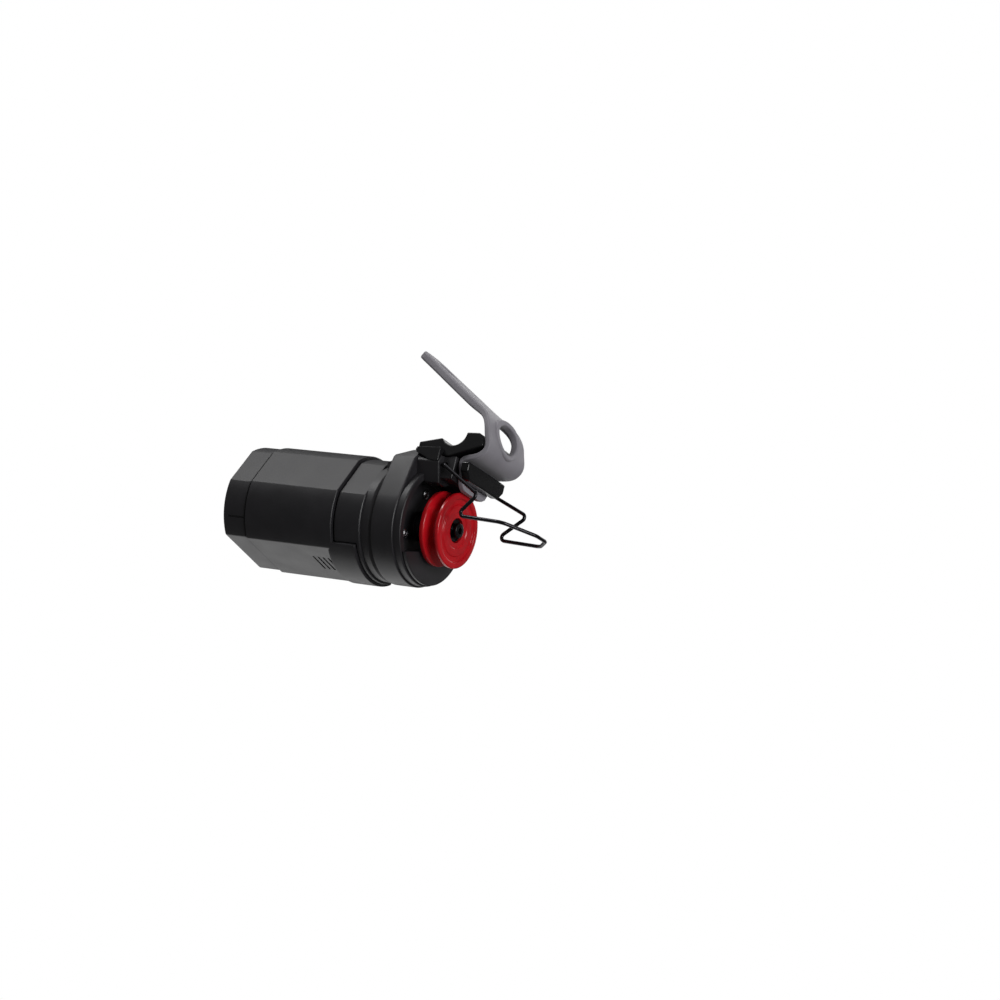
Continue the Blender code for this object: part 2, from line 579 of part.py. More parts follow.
def battery_tube(barrel, black):
    """The inner tube: rear ring and cap neck, battery bore, and the shoulder and collar in front."""
    ring_radius = SLEEVE_RADIUS * math.cos(LOWER_GRIP_FLAT[1]) - SLEEVE_WALL - GAP
    seal_floor = NECK_RADIUS - SEAL_THICKNESS - GAP
    seal_rear, seal_front = cap_seal_span()
    tube = turned("battery_tube", [
        (CAP_FRONT - NECK_LENGTH, 0.0), (CAP_FRONT - NECK_LENGTH, NECK_RADIUS),
        (seal_rear - GAP, NECK_RADIUS), (seal_rear - GAP, seal_floor),
        (seal_front + GAP, seal_floor), (seal_front + GAP, NECK_RADIUS),
        (CAP_FRONT + GAP, NECK_RADIUS), (CAP_FRONT + GAP, ring_radius),
        (TUBE_RING_FRONT, ring_radius), (TUBE_RING_FRONT, TUBE_BORE + TUBE_WALL),
        (SHOULDER_FRONT - SINK, TUBE_BORE + TUBE_WALL), (SHOULDER_FRONT - SINK, COLLAR_RADIUS),
        (TUBE_FRONT - COLLAR_TAPER, COLLAR_RADIUS),
        (TUBE_FRONT, COLLAR_RADIUS - SHOULDER_CHAMFER), (TUBE_FRONT, 0.0)], black, barrel, closed=False)
    step = flatted_piece("barrel_shoulder", [
        (SHOULDER_REAR, SHOULDER_RADIUS, 0.0),
        (SHOULDER_FRONT - SHOULDER_CHAMFER, SHOULDER_RADIUS, 0.0),
        (SHOULDER_FRONT, SHOULDER_RADIUS, SHOULDER_CHAMFER)],
        (UPPER_GRIP_FLAT, DISPLAY_FLAT), True, None, barrel)
    boolean(tube, step, 'UNION')
    bore = turned("tube_bore", [
        (CAP_FRONT - NECK_LENGTH - OVERRUN, 0.0), (CAP_FRONT - NECK_LENGTH - OVERRUN, TUBE_BORE),
        (SHOULDER_REAR, TUBE_BORE), (SHOULDER_REAR, 0.0)], None, barrel, closed=False)
    boolean(tube, bore, 'DIFFERENCE')
    socket = turned("spigot_socket", disc_profile(HEAD_REAR - SPIGOT_LENGTH - GAP, TUBE_FRONT + OVERRUN,
                                                  SOCKET_RADIUS), None, barrel, closed=False)
    boolean(tube, socket, 'DIFFERENCE')
    seat = tongue_sector("tongue_seat", SLEEVE_RADIUS - TONGUE_WALL - GAP, SLEEVE_RADIUS + OVERRUN,
                         SHOULDER_REAR - OVERRUN, TONGUE_FRONT + GAP,
                         GAP / SLEEVE_RADIUS, barrel)
    boolean(tube, seat, 'DIFFERENCE')
    return tube


def cap_seal_span():
    """Where the cap's seal starts and ends along the barrel."""
    middle = CAP_FRONT - NECK_LENGTH / 2
    return middle - SEAL_WIDTH / 2, middle + SEAL_WIDTH / 2


def head_seal_span():
    """Where the head's seal starts and ends along the barrel."""
    middle = HEAD_REAR - SPIGOT_LENGTH / 2
    return middle - SEAL_WIDTH / 2, middle + SEAL_WIDTH / 2


def seals(barrel, rubber):
    """The two square-section sealing rings."""
    rear, front = cap_seal_span()
    turned("cap_seal", ring_profile(rear, front, NECK_RADIUS, NECK_RADIUS - SEAL_THICKNESS),
           rubber, barrel)
    rear, front = head_seal_span()
    spigot = SOCKET_RADIUS - GAP
    turned("head_seal", ring_profile(rear, front, spigot, spigot - SEAL_THICKNESS), rubber, barrel)


def battery_cap(cap, black):
    """The cap that turns off the barrel's rear end, with a coin slot and an alignment mark."""
    body = flatted_piece("battery_cap", [
        (CAP_REAR, CAP_RADIUS, CAP_CHAMFER), (CAP_REAR + CAP_CHAMFER, CAP_RADIUS, 0.0),
        (CAP_FRONT, CAP_RADIUS, 0.0)], ALL_FLATS, True, black, cap)
    cavity = turned("cap_cavity", disc_profile(CAP_REAR + CAP_FLOOR, CAP_FRONT + OVERRUN,
                                               NECK_RADIUS + GAP), None, cap, closed=False)
    boolean(body, cavity, 'DIFFERENCE')
    slot = block("coin_slot", (CAP_REAR - OVERRUN, -CAP_SLOT_LENGTH / 2, -CAP_SLOT_WIDTH / 2),
                 (CAP_REAR + CAP_SLOT_DEPTH, CAP_SLOT_LENGTH / 2, CAP_SLOT_WIDTH / 2), cap)
    boolean(body, slot, 'DIFFERENCE')
    mark = block("alignment_mark",
                 (CAP_REAR + CAP_FLOOR / 2, -CAP_RADIUS - OVERRUN, -CAP_MARK_WIDTH / 2),
                 (CAP_FRONT + OVERRUN, CAP_MARK_DEPTH - CAP_RADIUS, CAP_MARK_WIDTH / 2), cap)
    mark.rotation_euler = (-CAP_MARK_ANGLE, 0, 0)
    boolean(body, mark, 'DIFFERENCE')
    return body


def wire(name, points, radius, resolution, finish, parent):
    """A round wire along a row of points, with closed ends."""
    curve = bpy.data.curves.new(name, 'CURVE')
    curve.dimensions = '3D'
    curve.bevel_depth = radius
    curve.bevel_resolution = resolution
    curve.use_fill_caps = True
    spline = curve.splines.new('POLY')
    spline.points.add(len(points) - 1)
    for place, point in zip(spline.points, points):
        place.co = (*point, 1.0)
    curve.materials.append(finish)
    obj = bpy.data.objects.new(name, curve)
    bpy.context.scene.collection.objects.link(obj)
    obj.parent = parent
    return obj


def contact_spring(cap, steel):
    """The coil in the cap that presses on the battery."""
    rear = CAP_REAR + CAP_FLOOR + GAP + SPRING_WIRE / 2
    front = BATTERY_REAR - GAP - SPRING_WIRE / 2
    count = SPRING_TURNS * SPRING_POINTS_PER_TURN
    points = []
    for step in range(count + 1):
        angle = math.tau * step / SPRING_POINTS_PER_TURN
        along = rear + (front - rear) * step / count
        points.append((along, SPRING_RADIUS * math.cos(angle), SPRING_RADIUS * math.sin(angle)))
    return wire("contact_spring", points, SPRING_WIRE / 2, 0, steel, cap)


def battery(barrel, label, brass):
    """The cell in the tube and the contact plate ahead of it."""
    turned("battery", [
        (BATTERY_REAR, 0.0), (BATTERY_REAR, BATTERY_RADIUS), (BATTERY_FRONT - BATTERY_NUB_LENGTH,
                                                              BATTERY_RADIUS),
        (BATTERY_FRONT - BATTERY_NUB_LENGTH, BATTERY_NUB_RADIUS), (BATTERY_FRONT, BATTERY_NUB_RADIUS),
        (BATTERY_FRONT, 0.0)], label, barrel, closed=False)
    rear = BATTERY_FRONT + GAP
    turned("front_contact", disc_profile(rear, rear + CONTACT_THICKNESS, CONTACT_RADIUS), brass,
           barrel, steps=SMALL_STEPS, closed=False)


def display(screen, glass, panel, board_green, key_frame, key_grey, dark):
    """Board, panel, window, reset switch and reset key, stacked under the display flat."""
    block("main_board", (TUBE_RING_FRONT + GAP, -BOARD_WIDTH / 2, BOARD_BOTTOM),
          (SHOULDER_REAR - BOARD_END_GAP, BOARD_WIDTH / 2, BOARD_TOP), screen, board_green)
    half_width = WINDOW_WIDTH / 2 + DISPLAY_BORDER
    panel_bottom = BOARD_TOP + GAP
    block("display_panel", (WINDOW_REAR - DISPLAY_BORDER, -half_width, panel_bottom),
          (WINDOW_FRONT + DISPLAY_BORDER, half_width, panel_bottom + DISPLAY_THICKNESS), screen, panel)
    lens = block("display_window", (WINDOW_REAR, -WINDOW_WIDTH / 2, FLAT_INSIDE),
                 (WINDOW_FRONT, WINDOW_WIDTH / 2, FLAT_OUTSIDE + WINDOW_PROUD), screen, glass)
    bevel(lens, WINDOW_PROUD)
    flange_top = FLAT_INSIDE - GAP
    flange_bottom = flange_top - KEY_FLANGE_THICKNESS
    upright_disc("reset_switch", [(BOARD_TOP + GAP, SWITCH_RADIUS),
                                  (flange_bottom - KEY_TRAVEL - GAP, SWITCH_RADIUS)],
                 dark, screen, (KEY_ALONG, 0, 0))
    crown = FLAT_OUTSIDE + KEY_PROUD
    upright_disc("reset_key", [
        (flange_bottom, KEY_RADIUS + KEY_FLANGE), (flange_top, KEY_RADIUS + KEY_FLANGE),
        (flange_top, KEY_RADIUS), (crown - KEY_PROUD / 3, KEY_RADIUS),
        (crown, KEY_RADIUS - KEY_PROUD / 3)], key_grey, key_frame, (0, 0, 0), ROUND_STEPS)


def arm_outline(along):
    """The head plate's outline: round below, flanks leaning in to a chamfered top."""
    start = math.pi - FACET_ANGLE
    turn = math.pi + 2 * FACET_ANGLE
    count = math.ceil(turn / ARC_FACET)
    outline = [(along, *around(HEAD_RADIUS, start + turn * step / count))
               for step in range(count + 1)]
    outline += [(along, -ARM_SHOULDER_HALF_WIDTH, ARM_SHOULDER), (along, -ARM_TOP_HALF_WIDTH, ARM_TOP),
                (along, ARM_TOP_HALF_WIDTH, ARM_TOP), (along, ARM_SHOULDER_HALF_WIDTH, ARM_SHOULDER)]
    return outline


def head_housing(barrel, black):
    """The front moulding: flange, arm with its hood over the wheel, rod trough, spigot and catch."""
    head = prism("head_housing", arm_outline(HEAD_REAR), (HEAD_LENGTH - RIM_LENGTH, 0, 0), black, barrel)
    bevel(head, HEAD_CHAMFER)
    rim = turned("head_rim", [
        (-RIM_LENGTH - SINK, 0.0), (-RIM_LENGTH - SINK, RIM_RADIUS), (-HEAD_CHAMFER, RIM_RADIUS),
        (0.0, RIM_RADIUS - HEAD_CHAMFER), (0.0, 0.0)], None, barrel, closed=False)
    boolean(head, rim, 'UNION')
    boolean(head, arm_block(barrel), 'UNION')
    boolean(head, head_spigot(barrel), 'UNION')
    boolean(head, strap_catch(barrel), 'UNION')
    for cutter in head_cutters(barrel):
        boolean(head, cutter, 'DIFFERENCE', 'MANIFOLD')
    return head


def arm_block(barrel):
    """The arm's block and nose, which reach out over the wheel and are hooded round it."""
    rear = -RIM_LENGTH - 2 * SINK
    brow = prism("arm_block", [
        (rear, y, z) for y, z in (
            (-BLOCK_HALF_WIDTH, BLOCK_BOTTOM), (BLOCK_HALF_WIDTH, BLOCK_BOTTOM),
            (BLOCK_HALF_WIDTH, ARM_SHOULDER), (ARM_TOP_HALF_WIDTH, ARM_TOP),
            (-ARM_TOP_HALF_WIDTH, ARM_TOP), (-BLOCK_HALF_WIDTH, ARM_SHOULDER))],
        (BLOCK_REACH - rear, 0, 0), None, barrel)
    bevel(brow, HEAD_CHAMFER)
    nose = block("arm_nose",
                 (BLOCK_REACH - HEAD_CHAMFER - SINK, -NOSE_HALF_WIDTH, ARM_TOP - SINK - NOSE_HEIGHT),
                 (NOSE_REACH, NOSE_HALF_WIDTH, ARM_TOP - SINK), barrel)
    bevel(nose, HEAD_CHAMFER)
    boolean(brow, nose, 'UNION')
    hood = turned("wheel_hood", disc_profile(-RIM_LENGTH - OVERRUN, NOSE_REACH + OVERRUN,
                                             WHEEL_RADIUS + HOOD_CLEARANCE), None, barrel, closed=False)
    hood.rotation_euler = (math.pi / ROUND_STEPS, 0, 0)
    boolean(brow, hood, 'DIFFERENCE')
    return brow


def head_spigot(barrel):
    """The round spigot that plugs into the barrel, with its seal groove."""
    radius = SOCKET_RADIUS - GAP
    rear, front = head_seal_span()
    floor = radius - SEAL_THICKNESS - GAP
    return turned("head_spigot", [
        (HEAD_REAR - SPIGOT_LENGTH, 0.0), (HEAD_REAR - SPIGOT_LENGTH, radius),
        (rear - GAP, radius), (rear - GAP, floor), (front + GAP, floor), (front + GAP, radius),
        (HEAD_REAR + SINK, radius), (HEAD_REAR + SINK, 0.0)], None, barrel, closed=False)


def strap_catch(barrel):
    """The hook on the arm's top: a stem with its lip turned back, so that a pulled strap stays on."""
    y = -CATCH_HALF_WIDTH
    rear = HEAD_REAR + CATCH_INSET
    front = rear + CATCH_THICKNESS
    top = ARM_TOP + CATCH_RISE
    hook = prism("catch_hook", [
        (front, y, ARM_TOP - SINK), (front, y, top), (rear - CATCH_LIP, y, top),
        (rear - CATCH_LIP, y, top - CATCH_LIP_THICKNESS), (rear, y, top - CATCH_LIP_THICKNESS),
        (rear, y, ARM_TOP - SINK)],
        (0, 2 * CATCH_HALF_WIDTH, 0), None, barrel)
    bevel(hook, CATCH_BEVEL)
    return hook


def head_cutters(barrel):
    """What is cut out of the head: sensor pocket, rod trough, lug socket and bail holes."""
    pocket = turned("sensor_pocket", disc_profile(POCKET_BACK, GAP, POCKET_RADIUS), None, barrel,
                    closed=False)
    trough = prism("rod_trough", pad_bed(), (0, 2 * (BLOCK_HALF_WIDTH + OVERRUN), 0), None)
    middle = (LUG_TOP + LUG_BOTTOM) / 2
    socket = block("lug_socket",
                   (NOSE_REACH - NECK_SOCKET - GAP, -NECK_HALF_WIDTH - GAP, middle - NECK_HEIGHT / 2 - GAP),
                   (NOSE_REACH + OVERRUN, NECK_HALF_WIDTH + GAP, middle + NECK_HEIGHT / 2 + GAP), barrel)
    cutters = [pocket, trough, socket]
    for side in (-1, 1):
        depth = BAIL_STUB + GAP
        hole = turned(f"bail_hole_{'front' if side < 0 else 'back'}",
                      disc_profile(0.0, depth + OVERRUN, WIRE_RADIUS + GAP), None, barrel,
                      (BAIL_PIVOT_AHEAD, side * (BAIL_HALF_WIDTH - depth), BAIL_PIVOT_HEIGHT),
                      SMALL_STEPS, closed=False)
        hole.rotation_euler = (0, 0, side * math.pi / 2)
        cutters.append(hole)
    return cutters


def pad_underside(spread):
    """The pad's underside from rear to front, measured from the rod's axis and let out by a gap."""
    y = -PAD_LENGTH / 2
    rear_bottom = -PAD_REAR_DROP - PAD_REAR_LIP
    return [(-PAD_REAR - spread, y, rear_bottom - spread), (-PAD_KEEL, y, -PAD_DEPTH - spread),
            (0.0, y, -PAD_DEPTH - spread), (PAD_FRONT + spread, y, -PAD_FRONT_DROP - spread)]


def pad_bed():
    """The trough's outline: the pad's underside let out by the seating gap, open at the top."""
    y = -BLOCK_HALF_WIDTH - OVERRUN
    under = [(x, y, z) for x, _, z in pad_underside(GAP)]
    return under + [(PAD_FRONT + GAP, y, 0.0), (-PAD_REAR - GAP, y, 0.0)]


def saddle_pad(rubber):
    """The rubber seat that the rod lies in: a thin rear lip and a thick front one."""
    y = -PAD_LENGTH / 2
    outline = pad_underside(0.0)
    top = PAD_FRONT - PAD_FRONT_LEAN
    outline += [(top, y, PAD_FRONT_HEIGHT - PAD_LIP_CHAMFER),
                (top - PAD_LIP_CHAMFER, y, PAD_FRONT_HEIGHT)]
    end = math.asin(SEAT_REAR_DROP / SEAT_RADIUS)
    for step in range(SEAT_STEPS + 1):
        angle = (math.pi - end) * step / SEAT_STEPS
        outline.append((SEAT_RADIUS * math.cos(angle), y, -SEAT_RADIUS * math.sin(angle)))
    outline.append((-PAD_REAR, y, -PAD_REAR_DROP))
    return prism("saddle_pad", outline, (0, PAD_LENGTH, 0), rubber)


def strap_lug(barrel, black):
    """The cross bar in front of the strap, whose neck passes through the strap into the arm."""
    bar = prism("strap_lug", [(LUG_REAR, y, z) for y, z in (
        (-LUG_HALF_LENGTH, LUG_TOP), (-LUG_HALF_LENGTH, LUG_BOTTOM + LUG_CORNER),
        (LUG_CORNER - LUG_HALF_LENGTH, LUG_BOTTOM), (LUG_HALF_LENGTH - LUG_CORNER, LUG_BOTTOM),
        (LUG_HALF_LENGTH, LUG_BOTTOM + LUG_CORNER), (LUG_HALF_LENGTH, LUG_TOP))],
        (LUG_THICKNESS, 0, 0), black, barrel)
    bevel(bar, LUG_BEVEL)
    middle = (LUG_TOP + LUG_BOTTOM) / 2
    neck = block("lug_neck", (NOSE_REACH - NECK_SOCKET, -NECK_HALF_WIDTH, middle - NECK_HEIGHT / 2),
                 (LUG_REAR + SINK, NECK_HALF_WIDTH, middle + NECK_HEIGHT / 2), barrel)
    boolean(bar, neck, 'UNION')
    return bar


def front_cover(barrel, black):
    """The cover over the sensor pocket: step ring, axle boss and the half moon in front."""
    radius = POCKET_RADIUS - GAP
    step = COVER_FRONT + COVER_STEP_HEIGHT
    cover = turned("front_cover", [
        (COVER_REAR, 0.0), (COVER_REAR, radius), (COVER_FRONT, radius),
        (COVER_FRONT, COVER_STEP_RADIUS), (step, COVER_STEP_RADIUS),
        (step, COVER_STEP_RADIUS - COVER_STEP_WALL), (COVER_FRONT, COVER_STEP_RADIUS - COVER_STEP_WALL),
        (COVER_FRONT, COVER_BOSS_RADIUS), (BOSS_FRONT, COVER_BOSS_RADIUS), (BOSS_FRONT, 0.0)],
        black, barrel, closed=False)
    moon = turned("half_moon", [
        (COVER_FRONT - SINK, 0.0), (COVER_FRONT - SINK, radius - SINK), (MOON_REAR, radius - SINK),
        (MOON_REAR, MOON_RADIUS), (MOON_FRONT - HEAD_CHAMFER, MOON_RADIUS),
        (MOON_FRONT, MOON_RADIUS - HEAD_CHAMFER), (MOON_FRONT, 0.0)], None, barrel, closed=False)
    chord = MOON_RADIUS * MOON_CHORD_SHARE
    above = block("moon_edge", (COVER_FRONT - OVERRUN, -chord, -MOON_RADIUS - OVERRUN),
                  (MOON_FRONT + OVERRUN, MOON_RADIUS + OVERRUN, MOON_RADIUS + OVERRUN), barrel)
    above.rotation_euler = (-MOON_ROLL, 0, 0)
    boolean(moon, above, 'DIFFERENCE')
    boolean(cover, moon, 'UNION')
    bore = turned("bush_bore", disc_profile(COVER_REAR - OVERRUN, BOSS_FRONT + OVERRUN,
                                            BUSH_RADIUS + GAP), None, barrel, steps=SMALL_STEPS,
                  closed=False)
    boolean(cover, bore, 'DIFFERENCE')
    return cover


def screw_places():
    """Where the three cover screws stand about the barrel's axis."""
    return [around(COVER_SCREW_CIRCLE, angle) for angle in COVER_SCREW_ANGLES]


def cover_screws(barrel, steel):
    """Three small screws that hold the front cover and the board to the pocket floor."""
    tip = POCKET_BACK - SCREW_POST_DEPTH
    head_rear = COVER_FRONT + GAP
    head_front = head_rear + SCREW_HEAD_HEIGHT
    for number, place in enumerate(screw_places(), 1):
        turned(f"cover_screw_{number}", [
            (tip, 0.0), (tip, SCREW_SHANK_RADIUS), (head_rear, SCREW_SHANK_RADIUS),
            (head_rear, SCREW_HEAD_RADIUS), (head_front - SCREW_HEAD_HEIGHT / 2, SCREW_HEAD_RADIUS),
            (head_front, SCREW_HEAD_RADIUS / 2), (head_front, 0.0)],
            steel, barrel, (0, *place), SCREW_STEPS, closed=False)


def drill_screw_holes(barrel, pieces):
    """Cut the screws' holes through the cover and the board and into the pocket floor."""
    profile = disc_profile(POCKET_BACK - SCREW_POST_DEPTH - GAP, COVER_FRONT + OVERRUN,
                           SCREW_SHANK_RADIUS + GAP)
    for number, place in enumerate(screw_places(), 1):
        hole = turned(f"screw_hole_{number}", profile, None, barrel, (0, *place), SCREW_STEPS,
                      closed=False)
        for piece in pieces:
            boolean(piece, hole, 'DIFFERENCE', 'MANIFOLD')


def sensor_board(barrel, green, dark):
    """The round board in the head and the magnetic sensor on it."""
    board = turned("sensor_board", disc_profile(POCKET_BACK + GAP, SENSOR_BOARD_FRONT,
                                                SENSOR_BOARD_RADIUS), green, barrel, closed=False)
    rear = SENSOR_BOARD_FRONT + GAP
    block("wheel_sensor", (rear, -SENSOR_SIZE / 2, MAGNET_CIRCLE - SENSOR_SIZE / 2),
          (rear + SENSOR_HEIGHT, SENSOR_SIZE / 2, MAGNET_CIRCLE + SENSOR_SIZE / 2), barrel, dark)
    return board


def axle(barrel, steel, brass):
    """The axle screw and the brass bush in the cover's boss that it screws into."""
    bore = AXLE_RADIUS + GAP
    turned("axle_bush", [
        (COVER_REAR + GAP, bore), (COVER_REAR + GAP, BUSH_RADIUS),
        (BUSH_FRONT - BUSH_FLANGE, BUSH_RADIUS), (BUSH_FRONT - BUSH_FLANGE, BUSH_FLANGE_RADIUS),
        (BUSH_FRONT, BUSH_FLANGE_RADIUS), (BUSH_FRONT, bore)], brass, barrel, steps=SMALL_STEPS)
    head_rear = FRONT_BEARING_FRONT + GAP
    head_front = head_rear + AXLE_HEAD_HEIGHT
    screw = turned("axle_screw", [
        (COVER_REAR + GAP, 0.0), (COVER_REAR + GAP, AXLE_RADIUS), (head_rear, AXLE_RADIUS),
        (head_rear, AXLE_HEAD_RADIUS), (head_front - GAP, AXLE_HEAD_RADIUS),
        (head_front, AXLE_HEAD_RADIUS - GAP), (head_front, 0.0)], steel, barrel, steps=SMALL_STEPS,
        closed=False)
    socket = turned("key_socket", disc_profile(head_front - AXLE_SOCKET_DEPTH, head_front + OVERRUN,
                                               AXLE_SOCKET_RADIUS), None, barrel, steps=HEX_SIDES,
                    closed=False)
    boolean(screw, socket, 'DIFFERENCE')


def bearing(name, rear, barrel, steel):
    """A shielded ball bearing: two races with the shield set back between them."""
    front = rear + BEARING_WIDTH
    bore = AXLE_RADIUS + GAP
    inner = bore + RACE_WIDTH
    outer = BEARING_RADIUS - RACE_WIDTH
    turned(name, [
        (rear, bore), (rear, inner), (rear + SHIELD_DEPTH, inner), (rear + SHIELD_DEPTH, outer),
        (rear, outer), (rear, BEARING_RADIUS), (front, BEARING_RADIUS), (front, outer),
        (front - SHIELD_DEPTH, outer), (front - SHIELD_DEPTH, inner), (front, inner), (front, bore)],
        steel, barrel, steps=BEARING_STEPS)


def rim_points(rear, front, radius):
    """A rim's two rounded corners, from rear to front."""
    points = []
    for centre, start in ((rear + RIM_ROUNDING, math.pi), (front - RIM_ROUNDING, math.pi / 2)):
        for step in range(RIM_STEPS + 1):
            angle = start - math.pi / 2 * step / RIM_STEPS
            points.append((centre + RIM_ROUNDING * math.cos(angle),
                           radius - RIM_ROUNDING + RIM_ROUNDING * math.sin(angle)))
    return points


def measuring_wheel(barrel, red):
    """The grooved wheel, with its stepped front face, bearing seats and magnet pockets."""
    seat = BEARING_RADIUS + GAP
    rear_rim_end = WHEEL_REAR + REAR_RIM_WIDTH
    front_rim_start = WHEEL_FRONT - FRONT_RIM_WIDTH
    middle = (rear_rim_end + front_rim_start) / 2
    profile = [(WHEEL_REAR, seat)]
    profile += rim_points(WHEEL_REAR, rear_rim_end, WHEEL_RADIUS)
    profile += [(middle - GROOVE_FLOOR_WIDTH / 2, GROOVE_FLOOR_RADIUS),
                (middle + GROOVE_FLOOR_WIDTH / 2, GROOVE_FLOOR_RADIUS)]
    profile += rim_points(front_rim_start, WHEEL_FRONT, WHEEL_RADIUS)
    profile += [
        (WHEEL_FRONT, FACE_CHANNEL_OUTER),
        (WHEEL_FRONT - FACE_CHANNEL_DEPTH, FACE_CHANNEL_OUTER - FACE_CHANNEL_DEPTH / 2),
        (WHEEL_FRONT - FACE_CHANNEL_DEPTH, FACE_CHANNEL_INNER + FACE_CHANNEL_DEPTH / 2),
        (WHEEL_FRONT - FACE_LAND_DEPTH, FACE_CHANNEL_INNER),
        (WHEEL_FRONT - FACE_LAND_DEPTH, FACE_BOSS_RADIUS),
        (WHEEL_FRONT - FACE_BOSS_DEPTH, FACE_BOSS_RADIUS - FACE_BOSS_DEPTH / 2),
        (WHEEL_FRONT - FACE_BOSS_DEPTH, seat),
        (WEB_FRONT, seat), (WEB_FRONT, WHEEL_WEB_RADIUS), (WEB_REAR, WHEEL_WEB_RADIUS),
        (WEB_REAR, seat)]
    wheel = turned("measuring_wheel", profile, red, barrel, steps=WHEEL_STEPS)
    pocket = disc_profile(WHEEL_REAR - OVERRUN, WHEEL_REAR + GAP + MAGNET_THICKNESS + GAP,
                          MAGNET_RADIUS + GAP)
    for number, height in enumerate(MAGNET_HEIGHTS, 1):
        boolean(wheel, turned(f"magnet_pocket_{number}", pocket, None, barrel, (0, 0, height),
                              SMALL_STEPS, closed=False), 'DIFFERENCE')
    return wheel


def wheel_magnets(barrel, steel):
    """The two magnets in the wheel's rear face, which the sensor counts."""
    rear = WHEEL_REAR + GAP
    for number, height in enumerate(MAGNET_HEIGHTS, 1):
        turned(f"wheel_magnet_{number}", disc_profile(rear, rear + MAGNET_THICKNESS, MAGNET_RADIUS),
               steel, barrel, (0, 0, height), SMALL_STEPS, closed=False)


def pad_front_plane():
    """The pad's front face: its lower edge, and the way up along it, which leans back."""
    edge = Vector((PAD_FRONT, 0, -PAD_FRONT_DROP))
    up = Vector((-PAD_FRONT_LEAN, 0, PAD_FRONT_HEIGHT + PAD_FRONT_DROP)).normalized()
    return edge, up


def flap_place(distance):
    """The point beside the eyelet's middle at a distance ahead of the pad's front face."""
    edge, up = pad_front_plane()
    start = edge + Vector((up.z, 0, -up.x)) * distance
    return start + up * (EYELET_RISE - start.z) / up.z


def strap_knots():
    """The strap's centreline knots from tail to tab: place, heading, half width and thickness."""
    behind_lug = LUG_REAR - GAP - STRAP_THICKNESS / 2 - ROD_AHEAD_OF_HEAD
    up = Vector((0, 0, 1))
    belly = Vector((math.cos(STRAP_BELLY_ANGLE), 0, math.sin(STRAP_BELLY_ANGLE)))
    tab = Vector((-STRAP_TAB_REACH, 0, STRAP_TAB_RISE - STRAP_CREST)).normalized()
    tab_end = Vector((-STRAP_TAB_REACH, 0, STRAP_TAB_RISE))
    tail_end = LUG_BOTTOM - STRAP_TAIL_DROP - ROD_ABOVE_BARREL
    return [
        (Vector((behind_lug, 0, tail_end + STRAP_TAIL_ROUNDING)), up,
         LUG_HALF_LENGTH - STRAP_TAIL_STEP, STRAP_THICKNESS),
        (Vector((behind_lug, 0, LUG_TOP - ROD_ABOVE_BARREL)), up,
         LUG_HALF_LENGTH - STRAP_STEP, STRAP_THICKNESS),
        (Vector((PAD_FRONT, 0, -PAD_FRONT_DROP - STRAP_BELLY_DROP)), belly,
         LUG_HALF_LENGTH - STRAP_BELLY_STEP, STRAP_THICKNESS),
        (flap_place(STRAP_CLEARANCE + STRAP_THICKNESS / 2), pad_front_plane()[1],
         LUG_HALF_LENGTH, STRAP_THICKNESS),
        (Vector((0, 0, STRAP_CREST)), tab, LUG_HALF_LENGTH - STRAP_CREST_STEP, STRAP_TAB_THICKNESS),
        (tab_end - tab * STRAP_TAB_ROUNDING, tab, LUG_HALF_LENGTH - STRAP_TAB_STEP,
         STRAP_TAB_THICKNESS)]


def rounded_end(place, heading, half_width, thickness, rounding):
    """Sections that round the strap's end off, from its full width outwards."""
    sections = []
    for step in range(1, STRAP_END_STEPS + 1):
        angle = math.pi / 2 * step / STRAP_END_STEPS
        sections.append((place + heading * rounding * math.sin(angle), heading,
                         half_width - rounding * (1 - math.cos(angle)), thickness))
    return sections


def strap_sections():
    """Every section of the strap from tail to tab, eased from knot to knot."""
    knots = strap_knots()
    place, heading, half_width, thickness = knots[0]
    sections = list(reversed(rounded_end(place, -heading, half_width, thickness, STRAP_TAIL_ROUNDING)))
    sections = [(spot, heading, width, thick) for spot, _, width, thick in sections]
    sections.append(knots[0])
    for (first, second), (ease_out, ease_in) in zip(zip(knots, knots[1:]), STRAP_EASE_SHARES):
        span = (second[0] - first[0]).length
        line = interpolate_bezier(first[0], first[0] + first[1] * span * ease_out,
                                  second[0] - second[1] * span * ease_in, second[0], STRAP_STEPS + 1)
        for step in range(1, STRAP_STEPS):
            share = step / STRAP_STEPS
            blend = share * share * (3 - 2 * share)
            sections.append((line[step], (line[step + 1] - line[step - 1]).normalized(),
                             first[2] + (second[2] - first[2]) * blend,
                             first[3] + (second[3] - first[3]) * blend))
        sections.append(second)
    sections += rounded_end(*knots[-1], STRAP_TAB_ROUNDING)
    return sections


def strap_ring(place, heading, half_width, thickness):
    """One section of the strap: a flat rectangle with its corners broken."""
    outward = Vector((heading.z, 0, -heading.x))
    across = Vector((0, 1, 0))
    half = thickness / 2
    inner_width = half_width - STRAP_CORNER
    inner_half = half - STRAP_CORNER
    corners = [(half, inner_width), (inner_half, half_width), (-inner_half, half_width),
               (-half, inner_width), (-half, -inner_width), (-inner_half, -half_width),
               (inner_half, -half_width), (half, -inner_width)]
    return [place + outward * out + across * side for out, side in corners]


def oval(name, length, width, depth, place, tilt, taper_share=0.0):
    """An oval prism, its length across the strap, standing on a place and tilted about Y.

    A taper makes it wider above its middle than below.
    """
    outline = []
    for step in range(SMALL_STEPS):
        angle = math.tau * step / SMALL_STEPS
        across = length / 2 * math.cos(angle) * (1 + taper_share * math.sin(angle))
        outline.append((-depth / 2, across, width / 2 * math.sin(angle)))
    piece = prism(name, outline, (depth, 0, 0), None, None, place)
    piece.rotation_euler = (0, tilt, 0)
    return piece


